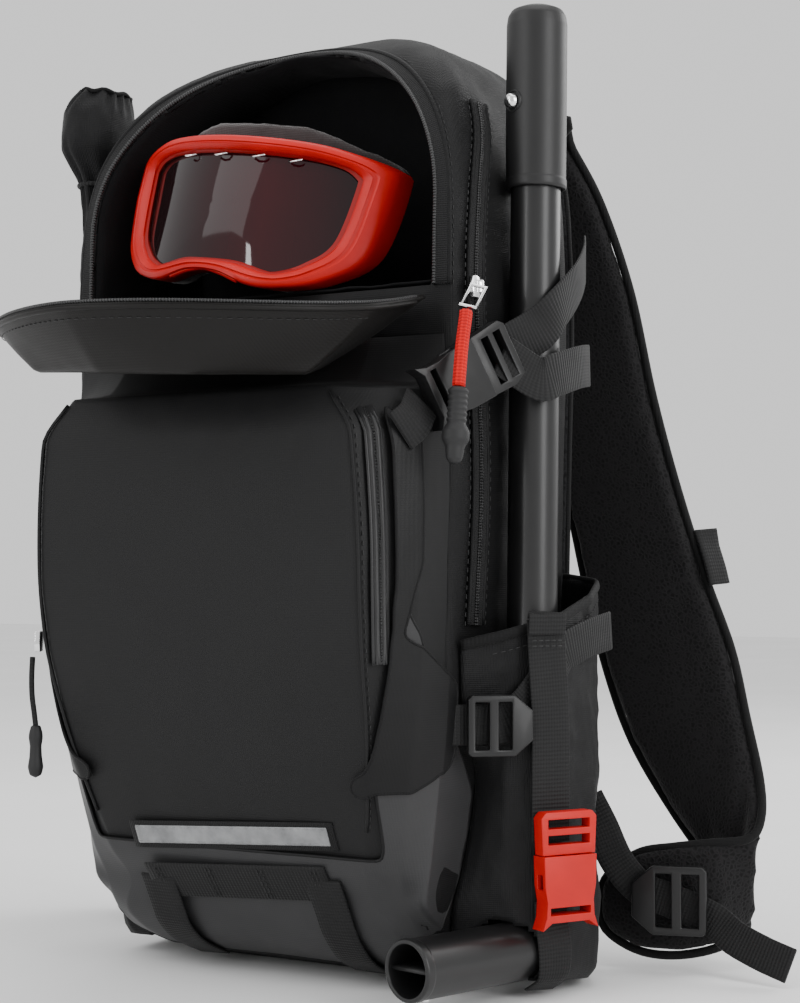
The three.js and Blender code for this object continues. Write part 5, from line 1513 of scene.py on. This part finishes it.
def make_shovel():
    origin = shaft_at(0)
    top = 534
    tube_profile = [(0.2, 46.3), (14, 46.3), (14, 60), (14, 300), (14, top - 1), (13.4, top), (11.6, top), (0.2, top)]
    lathe("shovel_shaft", origin, LEAN, round_profile(tube_profile, 0.5), "shaft", "pack", "shaft_tube", 72)
    sleeve = [(14.6, 450), (16.6, 450), (17.3, 451.2), (17.3, 455), (16.9, 456), (17.1, 500), (17.1, 543), (16.4, 548),
              (14.4, 551.4), (9, 553.6), (0.2, 554)]
    lathe("shovel_socket", origin, LEAN, round_profile([(14.6, 452)] + sleeve, 0.9), "shaft_dull", "shovel_sleeve",
          "shaft_sleeve", 72)
    button = V(-0.37, -0.93, 0).normalized()
    lathe("shovel_button", shaft_at(498), button, round_profile([(0.2, 9.5), (4.5, 9.5), (4.5, 18), (3.9, 20.2),
          (2.2, 21.5), (0.2, 21.9)], 0.8), "chrome", "button", "snap_button", 32)
    lathe("shovel_button_ring", shaft_at(498), button, round_profile([(5.0, 14.5), (6.6, 15.6), (6.4, 17.4), (5.2, 17.4),
          (5.0, 16.5)], 0.3), "shaft_dull", "shovel_sleeve", (), 32)
    # open T-grip with its web
    wall = [(13.8, -13.6), (15.8, -14), (16.2, -12), (16.2, 88), (16.6, 89), (16.6, 93), (16.0, 94), (14.2, 94), (13.8, 93)]
    prof = round_profile(wall, 0.5)
    sides, points = 64, []
    axis = GRIP_AXIS
    u = axis.orthogonal().normalized()
    w = axis.cross(u)
    for r, h in prof:
        for k in range(sides):
            t = 2 * math.pi * k / sides
            points.append(SHAFT_FOOT + axis * h + u * (r * math.cos(t)) + w * (r * math.sin(t)))
    grip = recalc(new_object("shovel_grip", points, grid_faces(len(prof), sides, True, True)))
    smooth_by_angle(grip, 45)
    finish_piece(grip, "shaft", "pack", "t_grip")
    web_outs = [V(0, 0, 1)] * 12
    web = [SHAFT_FOOT + axis * (-12 + 103 * k / 11) for k in range(12)]
    sweep("shovel_grip_web", web, web_outs, [(-13.9, -0.9), (13.9, -0.9), (13.9, 0.9), (-13.9, 0.9)], "shaft_dull")
    saddle = [(17.0, 14.6), (18.0, 16.5), (17.2, 22), (14.9, 27), (14.2, 27.5)]
    lathe("shovel_saddle", SHAFT_FOOT, LEAN, round_profile([(14.2, 16.0)] + saddle, 0.9), "shaft_dull", "pack", (), 56)
    rivet = SHAFT_FOOT + axis * 80 + V(0, 0, -16.4)
    lathe("grip_ball", rivet, (0, 0, -1), round_profile([(0.2, -0.8), (2.2, -0.8), (2.4, 0.6), (1.6, 1.8), (0.2, 2.2)], 0.5),
          "chrome", "pack", (), 24)


make_shovel()


# ------------------------------------------------------------------ straps and buckles

for node, material, width in (
        ("upper_buckle_female", "plastic", 1.1), ("upper_buckle_male", "plastic", 1.0), ("side_ladder_lock", "plastic", 1.0),
        ("red_buckle_female", "red", 1.1), ("red_buckle_male", "red", 1.0), ("foot_ladder_lock_right", "plastic", 1.0),
        ("foot_ladder_lock_left", "plastic", 1.0), ("trigger_handle", "red", 1.6)):
    bevelled(node, material, width)

UPPER_CENTRE = V(139.8, -44.8, 341.5)
UPPER_ALONG = V(0.402, 0.776, 0.488).normalized()
UPPER_OUT = (V(0.889, -0.456, 0) - UPPER_ALONG * V(0.889, -0.456, 0).dot(UPPER_ALONG)).normalized()


def upper_at(reach, lift):
    return UPPER_CENTRE + UPPER_ALONG * reach + UPPER_OUT * lift


def make_straps():
    strap("upper_anchor", [(V(123.8, -86.9, 309), UPPER_OUT), (V(127.3, -78.9, 316), UPPER_OUT),
                           (upper_at(-32, -1), UPPER_OUT)], 23, "webbing", "pack", "upper_anchor_webbing")
    strap("upper_strap", [
        (upper_at(11, -5.6), UPPER_OUT), (upper_at(33, -5.6), UPPER_OUT), (upper_at(58, -6.2), UPPER_OUT),
        (V(163.4, 16, 383), (1, 0.05, 0)), (V(162.4, 38, 398), (0.94, 0.33, 0)), (V(155, 62, 412), (0.88, 0.47, 0)),
        (V(143, 86, 422), (0.88, 0.47, 0))], 25, "webbing", "pack", "upper_strap_webbing")
    strap("upper_tail", [(upper_at(24, 0.4), UPPER_OUT), (V(163.5, -9, 341), (0.9, -0.4, 0)), (V(167.6, 4, 344), (0.98, -0.15, 0)),
                         (V(168.6, 20, 348), (1, 0.05, 0)), (V(168, 34, 351), (0.98, 0.2, 0)), (V(164, 50, 353), (0.95, 0.3, 0))],
          24, "webbing", "upper_buckle_half", "upper_strap_tail")
    low_out = V(0.698, -0.716, 0)
    strap("lower_strap", [
        (V(126.5, -42, 154), low_out), (V(130.9, -36.7, 154), low_out), (V(135.2, -31.2, 154), low_out),
        (V(146, -20.6, 154), low_out), (V(154.8, -8.4, 163), (0.8, -0.6, 0)), (V(163.1, 3.8, 181), (0.88, -0.46, 0)),
        (V(167, 14, 192), (1, -0.1, 0)), (V(170.5, 36, 199), (1, 0, 0)), (V(171, 62, 203), (1, 0.1, 0))],
        22, "webbing", "pack", "lower_strap_webbing")
    out = V(0.866, -0.5, 0)
    strap("pocket_band", [(V(*p), out) for p in ((164, -3, 211), (164.4, -1.6, 190), (165, 0, 165), (164.8, 1, 140),
                                                 (164.4, 1.6, 112), (164.4, 1.6, 90))], 24, "webbing", "pack", "pocket_strap")
    strap("pocket_band_low", [(V(164.4, 1.6, 58), out), (V(164.8, 1.8, 46), out), (V(166.4, 2.4, 32), out),
                              (V(164.6, 3.6, 17), (0.7, -0.3, -0.6)), (V(154, 7, 8.6), (0.7, -0.3, -0.6))],
          21, "webbing", "pack", "pocket_strap_lower")
    turn = [(V(164, -3, 211) + V(0.9, -0.5, 0) * s, z) for s, z in ((0, 0), (1.6, 3), (2.2, 0), (1.6, -9))]
    strap("pocket_band_fold", [(p + V(0, 0, z), out) for p, z in turn], 23.5, "webbing", thickness=1.2, step=1)
    for k, dz in enumerate((-12, -15)):
        side = V(0.5, 0.866, 0)
        row = [V(166.6, -4.2, 211 + dz) + side * s for s in (-10, -5, 0, 5, 10)]
        stitches(f"pocket_band_tack_{k}", row, [out] * 5, gap=0.8, radius=0.35)


make_straps()


# ------------------------------------------------------------------ harness

PAD = [((114, 101, 512), (46, 101, 506)), ((122, 112, 492), (52, 112, 484)), ((133, 128, 460), (60, 130, 450)),
       ((146, 141, 408), (72, 143, 400)), ((155, 153, 345), (80, 155, 337)), ((166, 163, 290), (90, 165, 284)),
       ((183, 166, 235), (101, 169, 228)), ((202, 162, 190), (115, 169, 176)), ((214, 156, 150), (134, 166, 132)),
       ((226, 147, 114), (160, 166, 92)), ((231, 136, 93), (196, 161, 50)), ((227, 127, 82), (217, 148, 29)),
       ((207, 120, 79), (210, 127, 19)), ((186, 114, 76), (189, 115, 13.5)), ((166, 111, 72), (166, 111, 14)),
       ((149, 110, 61), (147, 110, 22)), ((141, 110, 50), (140, 110, 32))]


def to_left(p):
    drop = max(0, 1 - p[2] / 220)
    return V(-p[0] - 10 * drop, p[1] - 22 * drop * (1 if p[1] > 130 else 0.4), p[2])


def make_harness():
    for side, tag in ((1, "right"), (-1, "left")):
        place = (lambda p: V(*p)) if side > 0 else to_left
        padded_copy(f"shoulder_strap_{tag}", "mesh", 4.0, 3.5, 1.8, 0.4, name=f"shoulder_pad_{tag}", wrinkles=0.4)
        outer = [place(a) for a, _ in PAD]
        inner = [place(b) for _, b in PAD]
        loop = outer + list(reversed(inner))
        tube(f"shoulder_binding_{tag}", loop, 2.6, "binding", step=4, closed=True, sides=10, up=(0, 1, 0))
        mid = [(a + b) / 2 for a, b in zip(outer, inner)]
        fronts = []
        for i in range(2, 10):
            along = (mid[i + 1] - mid[i - 1]).normalized()
            across = (outer[i] - inner[i]).normalized()
            out = across.cross(along) if side > 0 else along.cross(across)
            if out.y < 0:
                out = -out
            fronts.append((mid[i] + out * 8.2 + across * 4, out))
        if side > 0:
            strap("shoulder_ladder_right", fronts, 22, thickness=1.4, wobble=0.3)
        else:       # the release handle's travel lies between the two lengths
            strap("shoulder_ladder_left", fronts[:3], 22, thickness=1.4, wobble=0.3)
            strap("shoulder_ladder_left_low", fronts[5:], 22, thickness=1.4, wobble=0.3)
        stations = [((181.7, 170.4, 262), (0.8, -0.6, 0)), ((185, 169, 252), (0.9, -0.4, 0)),
                    ((189.5, 167.5, 240), (0.9, -0.4, 0)), ((192.5, 167, 229), (0.9, -0.4, 0))]
        loop_stations = [(V(side * p[0], p[1], p[2]), (side * o[0], o[1], o[2])) for p, o in stations]
        strap(f"chest_loop_{tag}", loop_stations, 16, "webbing", "pack", f"sternum_loop_{tag}", 3.0, 1.5)
    foot = [((140, 92, 104), (0.6, -0.7, -0.3)), ((150, 91, 88), (0.5, -0.8, -0.2)), ((159, 93.8, 68), (0.35, -0.93, 0)),
            ((171.7, 98.2, 53), (0.31, -0.95, 0)), ((187.9, 103.6, 46.5), (0.31, -0.95, 0)), ((209.6, 111.6, 37), (0.31, -0.95, 0))]
    tail = (0.1, -0.9, 0.2)
    long_tail = [((226, 107.5, 28), tail), ((245, 103, 21.5), tail), ((263, 99, 17), tail)]
    strap("foot_strap_right", [(V(*p), o) for p, o in foot + long_tail], 20, "webbing", "pack", "foot_webbing_right")
    strap("foot_strap_left", [(to_left(p), (-o[0], o[1], o[2])) for p, o in foot + [((215, 110.5, 32), (0.31, -0.95, 0))]],
          20, "webbing", "pack", "foot_webbing_left")
    strap("grab_loop", [((-37, 96, 498), (0, 1, 0)), ((-37, 98, 520), (-0.3, 1, 0)), ((-31, 100, 540), (-0.8, 0.2, 1)),
                        ((-13, 101, 550), (-0.2, 0.1, 1)), ((13, 101, 550), (0.2, 0.1, 1)), ((31, 100, 540), (0.8, 0.2, 1)),
                        ((37, 98, 520), (0.3, 1, 0)), ((37, 96, 498), (0, 1, 0))], 16, "webbing", "pack", "grab_handle", 4.0)


make_harness()


def make_back():
    for node in ("back_pad_right", "back_pad_left", "lumbar_pad"):
        padded_copy(node, "pad", 4.0, 4, 5, 1.2, name=node + "_soft", wrinkles=0.6)
    levels = [10 + 5 * k for k in range(103)]
    rows = []
    for z in levels:
        half = BODY.at(z)[0] - 1.5
        rows.append([V(-half + 2 * half * k / 60, 92.2, z) for k in range(61)])
    obj = recalc(new_object("back_cloth", [p for r in rows for p in r], grid_faces(len(rows), 61)))
    bm = bmesh.new()
    bm.from_mesh(obj.data)
    bm.normal_update()
    if sum(f.normal.y for f in bm.faces) < 0:
        bmesh.ops.reverse_faces(bm, faces=bm.faces)
    bm.to_mesh(obj.data)
    bm.free()
    displace(obj, 0.6, 40, 61)
    thicken(obj, 3.2)
    finish_piece(obj, "pad", "pack", "back_panel")
    edge = [V(s * (BODY.at(z)[0] - 1.5), 91.5, z) for s, zs in ((1, levels[::4]), (-1, levels[::-4])) for z in zs]
    tube("back_binding", edge, 2.0, "binding", step=6, closed=True, up=(0, 1, 0), sides=8)


make_back()

for node, material in (("frame_sheet", "sheet"), ("gas_cylinder", "steel"), ("inflator_head", "plastic"),
                       ("folded_airbag", "airbag"), ("trigger_cable", "plastic")):
    mesh = NODES[node].data
    mesh.materials.clear()
    mesh.materials.append(MAT[material])


# ------------------------------------------------------------------ room and light

def make_room():
    mesh = bpy.data.meshes.new("floor")
    mesh.from_pydata([(-6, -6, -0.0005), (6, -6, -0.0005), (6, 6, -0.0005), (-6, 6, -0.0005)], [], [(0, 1, 2, 3)])
    floor = bpy.data.objects.new("floor", mesh)
    SCENE.collection.objects.link(floor)
    m = Nodes("floor_paper", "floor")
    m.colour(m.ramp(m.noise(m.coords(), 3, 3), [(0.3, (0.86, 0.86, 0.86)), (0.7, (0.9, 0.9, 0.9))]))
    m.set(Roughness=0.85)
    floor.data.materials.append(m.mat)
    world = bpy.data.worlds.new("studio")
    world.use_nodes = True
    world.node_tree.nodes["Background"].inputs["Color"].default_value = (1.0, 1.0, 1.0, 1)
    world.node_tree.nodes["Background"].inputs["Strength"].default_value = 1.0
    SCENE.world = world
    for name, spot, aim, size, power in (
            ("key", (-0.9, -1.5, 1.7), (0, 0, 0.3), (1.2, 1.2), 9),
            ("side", (2.1, -0.5, 1.0), (0.1, 0, 0.25), (0.8, 1.6), 27),
            ("top", (0.1, 0.1, 1.9), (0, 0, 0.3), (1.6, 1.2), 12),
            ("rim", (0.8, 1.7, 1.1), (0, 0, 0.3), (1.2, 1.0), 16),
            ("strip", (-0.35, -1.9, 0.62), (0, -0.1, 0.42), (0.12, 0.9), 7)):
        data = bpy.data.lights.new(name, "AREA")
        data.shape, data.size, data.size_y, data.energy = "RECTANGLE", size[0], size[1], power
        lamp = bpy.data.objects.new(name, data)
        lamp.location = spot
        lamp.rotation_mode = "QUATERNION"
        lamp.rotation_quaternion = (Vector(aim) - Vector(spot)).to_track_quat("-Z", "Y")
        SCENE.collection.objects.link(lamp)


make_room()
